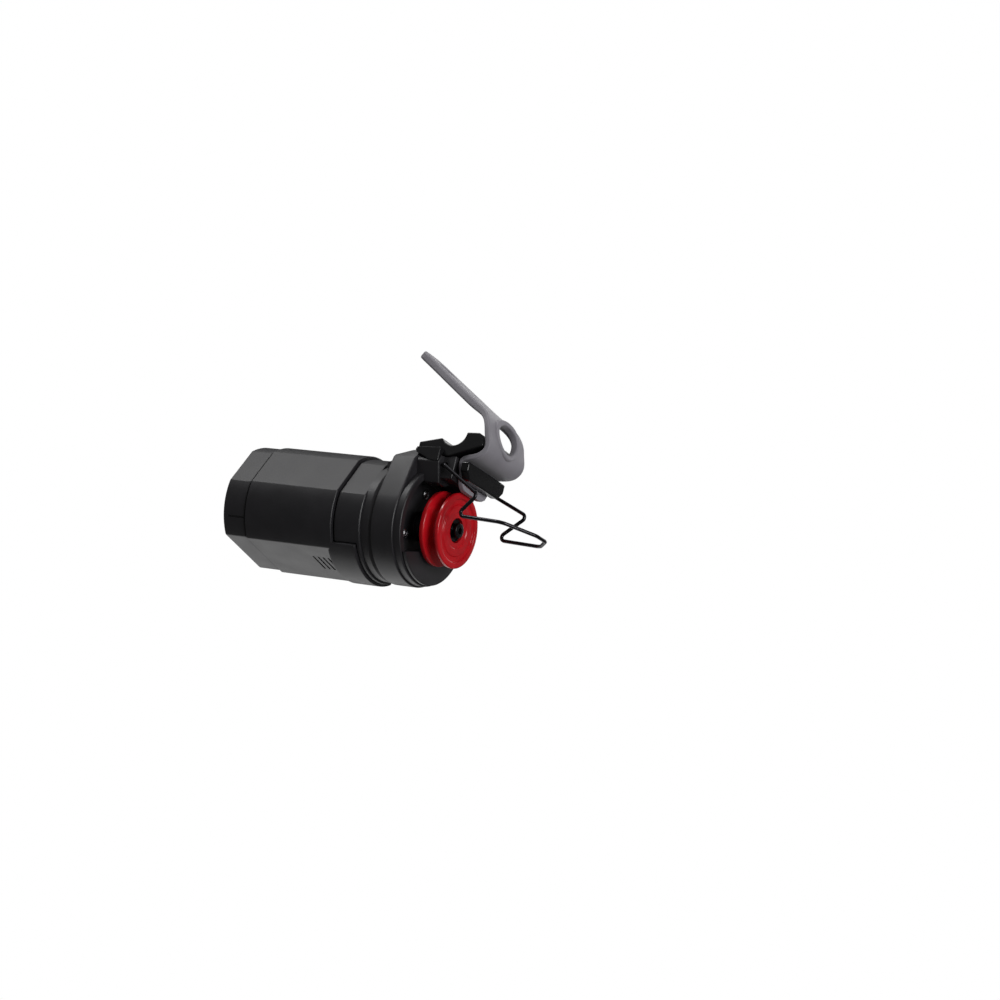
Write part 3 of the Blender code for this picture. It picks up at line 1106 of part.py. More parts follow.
def strap(barrel, silicone):
    """The rubber strap: pinned behind the lug, round the front of the rod and up to its pull tab."""
    bm = bmesh.new()
    loft(bm, [strap_ring(*section) for section in strap_sections()], True)
    band = finish_object("strap", bm, silicone)

    up = pad_front_plane()[1]
    tilt = math.atan2(up.x, up.z)
    lip_depth = STRAP_THICKNESS / 2 + EYELET_LIP_PROUD
    middle = STRAP_CLEARANCE + STRAP_THICKNESS / 2
    lip = oval("eyelet_lip", EYELET_LENGTH + 2 * EYELET_LIP, EYELET_WIDTH + 2 * EYELET_LIP, lip_depth,
               flap_place(middle + lip_depth / 2), tilt, EYELET_TAPER_SHARE)
    bevel(lip, EYELET_LIP_PROUD)
    boolean(band, lip, 'UNION')
    boolean(band, oval("eyelet_hole", EYELET_LENGTH, EYELET_WIDTH, STRAP_THICKNESS + 4 * OVERRUN,
                       flap_place(middle), tilt, EYELET_TAPER_SHARE), 'DIFFERENCE')

    place, heading, _, _ = strap_knots()[-1]
    middle = place - heading * (CATCH_HOLE_FROM_TIP - STRAP_TAB_ROUNDING)
    boolean(band, oval("catch_hole", CATCH_HOLE_WIDTH, CATCH_HOLE_LENGTH,
                       STRAP_TAB_THICKNESS + 2 * OVERRUN, middle, math.atan2(heading.x, heading.z)),
            'DIFFERENCE')
    height = (LUG_TOP + LUG_BOTTOM) / 2
    boolean(band, block("neck_slot", (NOSE_REACH, -NECK_HALF_WIDTH - GAP, height - NECK_HEIGHT / 2 - GAP),
                        (LUG_REAR, NECK_HALF_WIDTH + GAP, height + NECK_HEIGHT / 2 + GAP), barrel),
            'DIFFERENCE')
    return band


def with_bends(corners, radii):
    """A row of straight runs whose inner corners are turned into arcs."""
    points = [corners[0]]
    for before, corner, after, radius in zip(corners, corners[1:], corners[2:], radii):
        back = (before - corner).normalized()
        on = (after - corner).normalized()
        half = back.angle(on) / 2
        centre = corner + (back + on).normalized() * radius / math.sin(half)
        start = (corner + back * radius / math.tan(half) - centre).normalized()
        end = (corner + on * radius / math.tan(half) - centre).normalized()
        for step in range(BAIL_BEND_STEPS + 1):
            points.append(centre + start.slerp(end, step / BAIL_BEND_STEPS) * radius)
    points.append(corners[-1])
    return points


def bail_wire(pivot, steel):
    """The bent wire loop, seen from its pivot: two stubs, two arms, a fold each and a round tip."""
    side = [(0.0, BAIL_HALF_WIDTH - BAIL_STUB, 0.0), (0.0, BAIL_HALF_WIDTH, 0.0)]
    for ahead, half_width, height in (
            (BAIL_CORNER_AHEAD, BAIL_HALF_WIDTH, BAIL_CORNER_HEIGHT),
            (BAIL_FOLD_AHEAD, BAIL_HALF_WIDTH, BAIL_FOLD_HEIGHT),
            (BAIL_SHOULDER_AHEAD, BAIL_HALF_WIDTH, BAIL_SHOULDER_HEIGHT),
            (BAIL_TIP_AHEAD, BAIL_TIP_HALF_WIDTH, BAIL_TIP_HEIGHT)):
        side.append((ahead - BAIL_PIVOT_AHEAD, half_width, height - BAIL_PIVOT_HEIGHT))
    corners = [Vector((x, -y, z)) for x, y, z in side] + [Vector(corner) for corner in reversed(side)]
    radii = [BAIL_BEND_RADIUS, BAIL_BEND_RADIUS, BAIL_BEND_RADIUS, BAIL_TIP_RADIUS, BAIL_TIP_RADIUS]
    return wire("bail_wire", with_bends(corners, radii + radii[::-1]), WIRE_RADIUS, WIRE_ROUND_STEPS,
                steel, pivot)


def build_barrel(barrel, finishes):
    """The barrel with its display, key, tube, battery, cap and seals."""
    screen = display_frame(barrel)
    key_frame = empty("reset_key_axis", (KEY_ALONG, 0, 0), screen)
    barrel_sleeve(barrel, screen, finishes["matte_black"])
    battery_tube(barrel, finishes["matte_black"])
    seals(barrel, finishes["rubber_black"])
    battery_cap(barrel, finishes["matte_black"])
    contact_spring(barrel, finishes["steel"])
    battery(barrel, finishes["cell_grey"], finishes["brass"])
    display(screen, finishes["smoked_lens"], finishes["panel_grey"], finishes["board_green"], key_frame,
            finishes["key_grey"], finishes["chip_black"])


def build_head(barrel, finishes):
    """The head with its cover, sensor, axle, bearings and wheel."""
    head = head_housing(barrel, finishes["matte_black"])
    cover = front_cover(barrel, finishes["matte_black"])
    board = sensor_board(barrel, finishes["board_green"], finishes["chip_black"])
    drill_screw_holes(barrel, (head, cover, board))
    cover_screws(barrel, finishes["steel"])
    axle(barrel, finishes["steel"], finishes["brass"])
    bearing("rear_bearing", REAR_BEARING_REAR, barrel, finishes["steel"])
    bearing("front_bearing", FRONT_BEARING_FRONT - BEARING_WIDTH, barrel, finishes["steel"])
    measuring_wheel(barrel, finishes["gloss_red"])
    wheel_magnets(barrel, finishes["steel"])


def build_rod_clamp(barrel, finishes):
    """The rod seat, the lug, the strap and the wire bail."""
    saddle_pad(finishes["rubber_black"])
    strap_lug(barrel, finishes["gloss_black"])
    strap(barrel, finishes["silicone_grey"])
    pivot = empty("bail_pivot", (BAIL_PIVOT_AHEAD, 0, BAIL_PIVOT_HEIGHT), barrel)
    bail_wire(pivot, finishes["dark_wire"])


def make_finishes():
    """The counter's materials: colour, roughness and metallic value of each."""
    return {
        "matte_black": material("matte_black", (0.028, 0.028, 0.031), 0.5),
        "gloss_black": material("gloss_black", (0.012, 0.012, 0.013), 0.25),
        "rubber_black": material("rubber_black", (0.02, 0.02, 0.021), 0.7),
        "silicone_grey": material("silicone_grey", (0.3, 0.3, 0.32), 0.6),
        "gloss_red": material("gloss_red", (0.62, 0.012, 0.02), 0.25),
        "smoked_lens": material("smoked_lens", (0.02, 0.022, 0.024), 0.08),
        "panel_grey": material("panel_grey", (0.3, 0.33, 0.28), 0.4),
        "board_green": material("board_green", (0.02, 0.12, 0.05), 0.5),
        "chip_black": material("chip_black", (0.01, 0.01, 0.01), 0.5),
        "key_grey": material("key_grey", (0.16, 0.16, 0.17), 0.6),
        "cell_grey": material("cell_grey", (0.2, 0.2, 0.22), 0.35),
        "steel": material("steel", (0.6, 0.6, 0.62), 0.3, 1.0),
        "dark_wire": material("dark_wire", (0.05, 0.05, 0.055), 0.35, 1.0),
        "brass": material("brass", (0.75, 0.55, 0.22), 0.35, 1.0),
    }


def main():
    """Build the counter."""
    clear_scene()
    finishes = make_finishes()
    barrel = empty("barrel_axis", (-ROD_AHEAD_OF_HEAD, 0, -ROD_ABOVE_BARREL))
    build_barrel(barrel, finishes)
    build_head(barrel, finishes)
    build_rod_clamp(barrel, finishes)
    bpy.context.view_layer.update()


if __name__ == "__main__":
    main()
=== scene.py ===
"""Finishes for a clip-on fishing line counter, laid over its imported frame.

Every length is in metres. The rod's axis is Y through the origin, the barrel lies along X under it.
"""
import math

import bmesh
import bpy
from bpy.props import FloatProperty, FloatVectorProperty, PointerProperty
from mathutils import Matrix, Vector
from mathutils.geometry import interpolate_bezier


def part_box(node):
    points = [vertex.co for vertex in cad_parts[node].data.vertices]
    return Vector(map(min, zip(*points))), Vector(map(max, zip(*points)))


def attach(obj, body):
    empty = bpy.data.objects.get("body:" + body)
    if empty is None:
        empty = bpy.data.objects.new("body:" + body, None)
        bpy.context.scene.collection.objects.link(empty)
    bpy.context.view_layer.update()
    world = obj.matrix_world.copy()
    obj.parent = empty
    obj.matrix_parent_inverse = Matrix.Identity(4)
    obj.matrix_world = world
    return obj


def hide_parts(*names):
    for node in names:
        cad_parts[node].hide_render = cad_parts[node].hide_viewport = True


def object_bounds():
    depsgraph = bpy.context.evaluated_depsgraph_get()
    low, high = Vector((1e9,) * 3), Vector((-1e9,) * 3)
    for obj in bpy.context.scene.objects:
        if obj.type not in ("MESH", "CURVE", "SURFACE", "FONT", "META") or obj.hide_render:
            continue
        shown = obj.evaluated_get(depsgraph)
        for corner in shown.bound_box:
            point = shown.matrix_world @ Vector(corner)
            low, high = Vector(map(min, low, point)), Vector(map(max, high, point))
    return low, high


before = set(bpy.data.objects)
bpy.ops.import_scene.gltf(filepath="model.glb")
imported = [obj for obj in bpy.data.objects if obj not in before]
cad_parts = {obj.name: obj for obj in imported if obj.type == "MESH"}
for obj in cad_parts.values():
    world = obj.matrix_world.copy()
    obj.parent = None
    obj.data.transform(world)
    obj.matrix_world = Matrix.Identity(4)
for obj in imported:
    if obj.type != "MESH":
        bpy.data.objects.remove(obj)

bl_info = {
    "name": "Line Counter Finishes",
    "version": (1, 0, 0),
    "blender": (4, 5, 0),
    "location": "View3D > Sidebar > Line Counter",
    "description": "Models the finished surfaces of a clip-on fishing line counter over its frame",
    "category": "Object",
}

MM = 0.001
CAD_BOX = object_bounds()

# Places that every piece is measured from: the barrel's axis and the head's front face
WHEEL_LOW, WHEEL_HIGH = (Vector(corner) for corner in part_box("measuring_wheel"))
AXIS_HEIGHT = (WHEEL_LOW.z + WHEEL_HIGH.z) / 2
WHEEL_REAR = 2.1 * MM
FACE = WHEEL_LOW.x - WHEEL_REAR

# The camera that sees the counter as the photograph does
CAMERA_PLACE = Vector((310.74, -496.09, -142.78)) * MM
CAMERA_TURN = (math.radians(102.832), math.radians(-13.213), math.radians(28.053))
CAMERA_LENS = 81.82
SENSOR_WIDTH = 36.0
CAMERA_NEAR = 1.0 * MM

# Shared shapes
GAP = 0.3 * MM            # between pieces that lie in or on each other
OVERRUN = 2.0 * MM        # how far a cutter runs past what it cuts
SINK = 0.4 * MM           # how deep a form is let into the one that it is joined to
WELD = 0.002 * MM         # points closer than this become one
ORIGIN = Vector((0, 0, 0))
ROUND_STEPS = 160
SMALL_STEPS = 48
SECTOR_STEPS = 24
ARC_STEP = math.radians(2.4)
FILLET_STEPS = 4
SMOOTH_ANGLE = math.radians(28)

# Flats on the barrel: the angle of each flat's middle, from -Y towards +Z, and its half width in angle
UPPER_GRIP = (math.radians(31), math.radians(20.5))
DISPLAY = (math.radians(157), math.radians(34))
LOWER_GRIP = (math.radians(282), math.radians(35))
ALL_FLATS = (UPPER_GRIP, DISPLAY, LOWER_GRIP)
FLAT_FILLET = 0.8 * MM
SLEEVE_WALL = 1.3 * MM


def linear(code):
    """The linear colour of an sRGB hex code."""
    values = [int(code[start:start + 2], 16) / 255 for start in (1, 3, 5)]
    return [value / 12.92 if value <= 0.04045 else ((value + 0.055) / 1.055) ** 2.4 for value in values]


def around(radius, angle):
    """A point on a circle about the barrel's axis, as (side, height); angles run from -Y towards +Z."""
    return -radius * math.cos(angle), radius * math.sin(angle)


def barrel_point(ahead, side, height):
    """A point given ahead of the head's face, to the side, and above the barrel's axis."""
    return Vector((FACE + ahead, side, AXIS_HEIGHT + height))


# The barrel's own frame, and the display flat's: along the barrel, across the flat and out of it
BARREL = Matrix.Translation(barrel_point(0, 0, 0))
SCREEN = BARREL @ Matrix.Rotation(math.pi / 2 - DISPLAY[0], 4, 'X')


def select_only(piece):
    """Make one object the only one selected, and the active one."""
    bpy.ops.object.select_all(action='DESELECT')
    piece.select_set(True)
    bpy.context.view_layer.objects.active = piece


def start_at(name, point):
    """A new mesh of one vertex, left in edit mode."""
    bpy.ops.object.select_all(action='DESELECT')
    bpy.ops.mesh.primitive_plane_add(size=MM, location=(0, 0, 0))
    piece = bpy.context.object
    piece.name = name
    bpy.ops.object.mode_set(mode='EDIT')
    bpy.ops.mesh.merge(type='CENTER')
    bpy.ops.transform.translate(value=Vector(point))
    return piece


def draw_on(points):
    """Draw the selected vertex out along a row of points."""
    for before, after in zip(points, points[1:]):
        step = Vector(after) - Vector(before)
        bpy.ops.mesh.extrude_vertices_move(TRANSFORM_OT_translate={"value": step})


def close_up(piece):
    """Weld the seams, turn the faces outwards and leave edit mode."""
    bpy.ops.mesh.select_all(action='SELECT')
    bpy.ops.mesh.remove_doubles(threshold=WELD)
    bpy.ops.mesh.normals_make_consistent(inside=False)
    bpy.ops.object.mode_set(mode='OBJECT')
    return piece


def corner_arc(before, corner, after, radius, steps):
    """A polyline's corner turned into an arc, or kept if its radius is zero."""
    if radius <= 0:
        return [corner]
    back = (before - corner).normalized()
    on = (after - corner).normalized()
    half = back.angle(on) / 2
    reach = radius / math.tan(half)
    centre = corner + (back + on).normalized() * radius / math.sin(half)
    start = (corner + back * reach - centre).normalized()
    end = (corner + on * reach - centre).normalized()
    return [centre + start.slerp(end, step / steps) * radius for step in range(steps + 1)]


def rounded(corners, ring=False):
    """A row of (a, b, radius) corners with their arcs, as 2-D points; a ring closes on itself."""
    places = [Vector((a, b, 0.0)) for a, b, _ in corners]
    points = []
    last = len(corners) - 1
    for index, (_, _, radius) in enumerate(corners):
        if not ring and index in (0, last):
            points.append(places[index])
            continue
        points += corner_arc(places[index - 1], places[index], places[(index + 1) % len(corners)],
                             radius, FILLET_STEPS)
    return [(point.x, point.y) for point in points]


def turned(name, corners, steps=ROUND_STEPS, ring=False, centre=None):
    """A piece turned about an axis along X, from corners of (ahead of the centre, radius, rounding)."""
    centre = centre if centre is not None else barrel_point(0, 0, 0)
    points = [centre + Vector((a, 0, r)) for a, r in rounded(corners, ring)]
    if ring:
        points.append(points[0])
    piece = start_at(name, points[0])
    draw_on(points)
    bpy.ops.mesh.select_all(action='SELECT')
    bpy.ops.mesh.spin(steps=steps, angle=math.tau, center=centre, axis=(1, 0, 0))
    return close_up(piece)


def drum(name, rear, front, radius, steps=ROUND_STEPS, centre=None):
    """A plain cylinder along X, the start of a bore."""
    return turned(name, [(rear, 0, 0), (rear, radius, 0), (front, radius, 0), (front, 0, 0)], steps,
                  centre=centre)


def sector(name, inner, outer, rear, front, middle, half, steps=SECTOR_STEPS):
    """A part of a ring about the barrel's axis."""
    axis = barrel_point(0, 0, 0)
    turn = Matrix.Rotation(math.pi / 2 + half - middle, 3, 'X')
    corners = [(rear, inner), (rear, outer), (front, outer), (front, inner), (rear, inner)]
    points = [axis + turn @ Vector((a, 0, r)) for a, r in corners]
    piece = start_at(name, points[0])
    draw_on(points)
    bpy.ops.mesh.select_all(action='SELECT')
    bpy.ops.mesh.spin(steps=steps, angle=2 * half, center=axis, axis=(1, 0, 0))
    bpy.ops.mesh.select_all(action='SELECT')
    bpy.ops.mesh.remove_doubles(threshold=WELD)
    bpy.ops.mesh.fill_holes(sides=0)
    return close_up(piece)


def prism(name, outline, direction):
    """A flat outline of 3-D points, filled and extruded along a direction."""
    piece = start_at(name, outline[0])
    draw_on(list(outline) + [outline[0]])
    bpy.ops.mesh.select_all(action='SELECT')
    bpy.ops.mesh.remove_doubles(threshold=WELD)
    bpy.ops.mesh.select_all(action='SELECT')
    bpy.ops.mesh.edge_face_add()
    bpy.ops.mesh.extrude_region_move(TRANSFORM_OT_translate={"value": Vector(direction)})
    return close_up(piece)


def block(name, low, high, corner=0.0):
    """A box between two corners, its upright edges rounded: the start of a boss or a cutter."""
    low, high = Vector(low), Vector(high)
    outline = rounded([(low.x, low.y, corner), (high.x, low.y, corner), (high.x, high.y, corner),
                       (low.x, high.y, corner)], ring=True)
    return prism(name, [(x, y, low.z) for x, y in outline], (0, 0, high.z - low.z))


def flat_corner(radius, half, inset):
    """Half the angle that a flat takes up once its outline is drawn in by an inset."""
    return math.acos((radius * math.cos(half) - inset) / (radius - inset))


def flatted(name, rear, front, radius, flats, inset=0.0, fillet=FLAT_FILLET):
    """A bar along the barrel's axis: round, with flats whose edges are rounded."""
    corners = []
    for index, (middle, half) in enumerate(flats):
        after, after_half = flats[(index + 1) % len(flats)]
        start = middle + flat_corner(radius, half, inset)
        turn = (after - flat_corner(radius, after_half, inset) - start) % math.tau
        count = math.ceil(turn / ARC_STEP)
        for step in range(count + 1):
            edge = fillet if step in (0, count) else 0.0
            corners.append((*around(radius - inset, start + turn * step / count), edge))
    outline = [barrel_point(rear, side, height) for side, height in rounded(corners, ring=True)]
    return prism(name, outline, (front - rear, 0, 0))


def upright(name, rims, ahead):
    """A turned solid on the display flat's normal, from rims of (height, radius, rounding)."""
    corners = [(rims[0][0], 0, 0), *rims, (rims[-1][0], 0, 0)]
    piece = turned(name, corners, SMALL_STEPS * 2, centre=ORIGIN)
    piece.data.transform(SCREEN @ Matrix.Translation((ahead, 0, 0)) @ Matrix.Rotation(-math.pi / 2, 4, 'Y'))
    return piece


def placed(piece, matrix):
    """Move what was modelled at the origin to its place."""
    piece.data.transform(matrix)
    return piece


def copied(piece, step, name=None):
    """A copy of a piece with its own mesh, moved by a step."""
    select_only(piece)
    bpy.ops.object.duplicate(linked=False)
    copy = bpy.context.object
    copy.name = name or copy.name
    return placed(copy, Matrix.Translation(step))


def modify(piece, kind, **settings):
    """Add a modifier with its settings and apply it."""
    select_only(piece)
    step = piece.modifiers.new(kind.lower(), kind)
    for key, value in settings.items():
        setattr(step, key, value)
    bpy.ops.object.modifier_apply(modifier=step.name)
    return piece


def boolean(piece, tool, operation):
    """Cut or join an object by another, which is used up."""
    modify(piece, 'BOOLEAN', operation=operation, object=tool, solver='MANIFOLD')
    if not piece.data.polygons:
        raise RuntimeError(f"{operation} by {tool.name} left nothing of {piece.name}")
    bpy.data.objects.remove(tool, do_unlink=True)
    return piece


def soften(piece, width, segments=3, angle=SMOOTH_ANGLE):
    """Round an object's edges off."""
    return modify(piece, 'BEVEL', width=width, segments=segments, limit_method='ANGLE',
                  angle_limit=angle)


def joined(pieces):
    """Several objects made into one."""
    select_only(pieces[0])
    for piece in pieces[1:]:
        piece.select_set(True)
    bpy.ops.object.join()
    return pieces[0]


def finish(piece, finish_name, body, nodes=()):
    """Shade a piece, give it its material and hang it on its body."""
    select_only(piece)
    bpy.ops.object.transform_apply(location=True, rotation=True, scale=True)
    bpy.ops.object.shade_smooth_by_angle(angle=SMOOTH_ANGLE)
    modify(piece, 'WEIGHTED_NORMAL', keep_sharp=True)
    piece.data.materials.clear()
    piece.data.materials.append(bpy.data.materials[finish_name])
    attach(piece, body)
    if nodes:
        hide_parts(*nodes)
    return piece


# Materials

def add_node(owner, kind, links=None, **settings):
    """Add a node with its settings and its inputs, which are values or (node, socket) links."""
    node = owner.node_tree.nodes.new(kind)
    for key, value in settings.items():
        setattr(node, key, value)
    for socket, value in (links or {}).items():
        if isinstance(value, tuple) and isinstance(value[0], bpy.types.Node):
            owner.node_tree.links.new(value[0].outputs[value[1]], node.inputs[socket])
        else:
            node.inputs[socket].default_value = value
    return node


def new_material(name, colour, **values):
    """A material with a Principled shader whose constant sockets are set directly."""
    material = bpy.data.materials.new(name)
    material.use_nodes = True
    material.diffuse_color = (*colour, 1.0)
    shader = material.node_tree.nodes["Principled BSDF"]
    shader.inputs["Base Color"].default_value = (*colour, 1.0)
    for socket, value in values.items():
        shader.inputs[socket.replace("_", " ")].default_value = value
    place = add_node(material, 'ShaderNodeTexCoord')
    return material, shader, place


def link(owner, source, socket, target, into):
    """Join one node's output to another's input."""
    owner.node_tree.links.new(source.outputs[socket], target.inputs[into])


def dimmed(colour, factor):
    """A colour made darker or lighter."""
    return tuple(min(1.0, value * factor) for value in colour)


# Real sizes of the patterns. A spark-eroded grain is some 0.03 mm wide and a lathe's rings stand 0.05 mm
# apart, both too fine to show in the render, so they are drawn as coarse as they need to show.
GRAIN_WIDTH = 0.16 * MM
GRAIN_DEPTH = 0.006 * MM
GRAIN_DETAIL = 3.0
RING_PITCH = 0.12 * MM
RING_DEPTH = 0.002 * MM
RING_WOBBLE = 0.4
WEAVE_PITCH = 0.4 * MM
WEAVE_DEPTH = 0.004 * MM
BLOOM_WIDTH = 6.0 * MM    # the broad, faint patches that moulding and hands leave
BLOOM_DETAIL = 4.0
BLOOM_SPAN = (0.35, 0.65)


def surfaced(material, shader, place, pattern, depth, colour, swing, rough):
    """Raise a surface by its fine pattern, and let its shade and gloss wander by a broad bloom."""
    bump = add_node(material, 'ShaderNodeBump', {"Height": (pattern, "Fac"), "Distance": depth})
    bloom = add_node(material, 'ShaderNodeTexNoise', {
        "Vector": (place, "Object"), "Scale": 1 / BLOOM_WIDTH, "Detail": BLOOM_DETAIL})
    shades = add_node(material, 'ShaderNodeValToRGB', {"Fac": (bloom, "Fac")})
    for element, factor, stop in zip(shades.color_ramp.elements, (1 - swing, 1 + swing), BLOOM_SPAN):
        element.color = (*dimmed(colour, factor), 1.0)
        element.position = stop
    gloss = add_node(material, 'ShaderNodeMapRange', {
        "Value": (bloom, "Fac"), "To Min": rough[0], "To Max": rough[1]})
    link(material, bump, "Normal", shader, "Normal")
    link(material, shades, "Color", shader, "Base Color")
    link(material, gloss, "Result", shader, "Roughness")


def even(name, colour, *rough, grain_width=GRAIN_WIDTH, grain_depth=GRAIN_DEPTH, swing=0.12, **values):
    """A surface of one stuff, with its roughness's two ends and a fine tool grain."""
    material, shader, place = new_material(name, colour, **values)
    grain = add_node(material, 'ShaderNodeTexNoise', {
        "Vector": (place, "Object"), "Scale": 1 / grain_width, "Detail": GRAIN_DETAIL})
    surfaced(material, shader, place, grain, grain_depth, colour, swing, rough)


def ringed(name, colour, *rough, swing=0.1, **values):
    """A turned surface, with its roughness's two ends and fine tool rings about the barrel's axis."""
    material, shader, place = new_material(name, colour, **values)
    centred = add_node(material, 'ShaderNodeMapping', {
        "Vector": (place, "Object"), "Location": (0.0, 0.0, -AXIS_HEIGHT)})
    rings = add_node(material, 'ShaderNodeTexWave', {
        "Vector": (centred, "Vector"), "Scale": 1 / (RING_PITCH * math.tau), "Distortion": RING_WOBBLE},
        wave_type='RINGS', rings_direction='X')
    surfaced(material, shader, place, rings, RING_DEPTH, colour, swing, rough)


def abs_spark_grained(colours):
    """ABS, moulded in a spark-eroded tool: the fine grain spreads every highlight into a soft band."""
    even("abs_spark_grained", colours.housing, 0.36, 0.5, IOR=1.52)


def abs_polished(colours):
    """ABS from a polished tool: nearly flat, with a tight bright highlight on its rounded edges."""
    even("abs_polished", colours.lug, 0.16, 0.26, grain_depth=0.001 * MM, IOR=1.54)


def acetal_turned(colours):
    """Red acetal, turned, then polished by the line: fine rings that draw the highlights out."""
    ringed("acetal_turned", colours.wheel, 0.16, 0.28, IOR=1.48)


def epdm_moulded(colours):
    """EPDM rubber, moulded: deep black, oily enough to shine where it is rounded."""
    even("epdm_moulded", colours.rubber, 0.26, 0.4, grain_depth=0.003 * MM, IOR=1.5)


def silicone_satin(colours):
    """Silicone rubber, moulded in a blasted tool: a dry satin that goes paler at a grazing view."""
    even("silicone_satin", colours.strap, 0.46, 0.6, grain_depth=0.004 * MM, swing=0.05, IOR=1.41,
         Sheen_Weight=0.25, Sheen_Roughness=0.4)


def nitrile_ground(colours):
    """Nitrile rubber rings, ground to size: flat black with hardly a highlight."""
    even("nitrile_ground", colours.rubber, 0.6, 0.75)


def steel_plated(colours):
    """Steel, nickel plated: bright with a slight haze."""
    even("steel_plated", colours.steel, 0.2, 0.32, grain_depth=0.001 * MM, swing=0.06, Metallic=1.0)


def steel_blackened(colours):
    """Steel, turned and blackened in oil: dark rings that only glint at their edges."""
    ringed("steel_blackened", colours.wire, 0.22, 0.34, Metallic=1.0)


def brass_turned(colours):
    """Brass, turned: warm, with the tool's fine rings in it."""
    ringed("brass_turned", colours.brass, 0.24, 0.36, Metallic=1.0)


def magnet_nickelled(colours):
    """Neodymium, nickelled: smooth and a little darker than steel."""
    even("magnet_nickelled", dimmed(colours.steel, 0.8), 0.14, 0.22, grain_depth=0.0005 * MM, Metallic=1.0)


def wire_blackened(colours):
    """Spring wire, drawn and blackened: dark, with a sharp streak of light along each run."""
    even("wire_blackened", colours.wire, 0.2, 0.34, grain_depth=0.002 * MM, Metallic=1.0)


def polycarbonate_clear(colours):
    """Polycarbonate, polished: clear, so that the display shows through a thin shine."""
    even("polycarbonate_clear", colours.window, 0.02, 0.05, grain_depth=0.0001 * MM, swing=0.02,
         IOR=1.58, Transmission_Weight=1.0)


def display_glass(colours):
    """The display's glass over its reflector: a pale greenish grey that the figures stand on."""
    even("display_glass", colours.panel, 0.16, 0.24, grain_depth=0.0005 * MM, swing=0.04, IOR=1.5)


def display_ink(colours):
    """The switched crystal of the figures: dark and sharp."""
    even("display_ink", colours.figures, 0.2, 0.3, grain_depth=0.0005 * MM)


def board_masked(colours):
    """Glass-epoxy board under solder mask: green, with the weave faintly raised in the gloss."""
    material, shader, place = new_material("board_masked", colours.board, IOR=1.55)
    weave = add_node(material, 'ShaderNodeTexChecker', {
        "Vector": (place, "Object"), "Scale": 1 / WEAVE_PITCH})
    surfaced(material, shader, place, weave, WEAVE_DEPTH, colours.board, 0.15, (0.25, 0.4))


def epoxy_moulded(colours):
    """Chip and switch cases, moulded in mineral-filled epoxy: dull dark grey with a coarse grain."""
    even("epoxy_moulded", colours.chip, 0.5, 0.65, grain_width=0.08 * MM, grain_depth=0.004 * MM)


def cell_film(colours):
    """The cell's shrink film over its steel can: smooth grey with long soft highlights."""
    even("cell_film", colours.cell, 0.2, 0.32, grain_depth=0.001 * MM, IOR=1.54)


def key_rubber(colours):
    """The key, moulded in hard rubber: a matt grey crown."""
    even("key_rubber", colours.key, 0.5, 0.62, grain_depth=0.004 * MM, IOR=1.48)


FINISHES = (abs_spark_grained, abs_polished, acetal_turned, epdm_moulded, silicone_satin, nitrile_ground,
            steel_plated, steel_blackened, brass_turned, magnet_nickelled, wire_blackened,
            polycarbonate_clear, display_glass, display_ink, board_masked, epoxy_moulded, cell_film,
            key_rubber)

# The frame's own pieces that stay as they are, and what each is made of
KEPT_NODES = {
    "battery": "cell_film", "contact_spring": "steel_plated", "front_contact": "brass_turned",
    "cap_seal": "nitrile_ground", "head_seal": "nitrile_ground", "main_board": "board_masked",
    "sensor_board": "board_masked", "wheel_sensor": "epoxy_moulded", "reset_switch": "epoxy_moulded",
    "wheel_magnet_1": "magnet_nickelled", "wheel_magnet_2": "magnet_nickelled",
}


def colour_of(name, use, code):
    """A colour property with its name, its use and its default."""
    return FloatVectorProperty(name=name, description=use, subtype='COLOR', default=linear(code))


def length_of(name, use, default):
    """A length property with its name, its use and its default."""
    return FloatProperty(name=name, description=use, default=default, subtype='DISTANCE', unit='LENGTH')


class CounterSizes(bpy.types.PropertyGroup):
    """Sizes that a user may change."""
    sleeve_wall: length_of("Sleeve wall", "Thickness of the outer shell", SLEEVE_WALL)
    wire_radius: length_of("Wire radius", "Half the bail wire's thickness", 0.5 * MM)
    edge: length_of("Edge rounding", "Radius on the moulded edges", 0.35 * MM)


class CounterColours(bpy.types.PropertyGroup):
    """Colours that a user may change."""
    housing: colour_of("Housing", "Barrel and head", "#262528")
    lug: colour_of("Lug", "Polished black parts", "#08080a")
    wheel: colour_of("Wheel", "Measuring wheel", "#cc1420")
    rubber: colour_of("Rod seat", "Rubber rod seat and seals", "#161618")
    strap: colour_of("Strap", "Silicone strap", "#96939a")
    steel: colour_of("Steel", "Screws, axle and bearings", "#c9c9cc")
    brass: colour_of("Brass", "Bush and contact", "#d8b568")
    wire: colour_of("Wire", "Bail wire", "#3c3b3e")
    window: colour_of("Window", "Display window", "#e6e8e6")
    panel: colour_of("Display", "Display behind the window", "#8f9788")
    figures: colour_of("Figures", "Figures on the display", "#1b1f1c")
    board: colour_of("Boards", "Circuit boards", "#1c5a35")
    chip: colour_of("Chips", "Sensor and switch", "#1e1e20")
    cell: colour_of("Cell", "The battery's film", "#7c7d82")
    key: colour_of("Key", "Reset key", "#6e6c70")
    floor: colour_of("Floor", "Floor under the counter", "#e8e8ea")


class COUNTER_OT_finishes(bpy.types.Operator):
    """Make the counter's materials"""
    bl_idname = "counter.finishes"
    bl_label = "Make Finishes"

    def execute(self, context):
        for make in FINISHES:
            make(context.scene.counter_colours)
        for name, finish_name in KEPT_NODES.items():
            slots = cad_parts[name].data.materials
            slots.clear()
            slots.append(bpy.data.materials[finish_name])
        return {'FINISHED'}


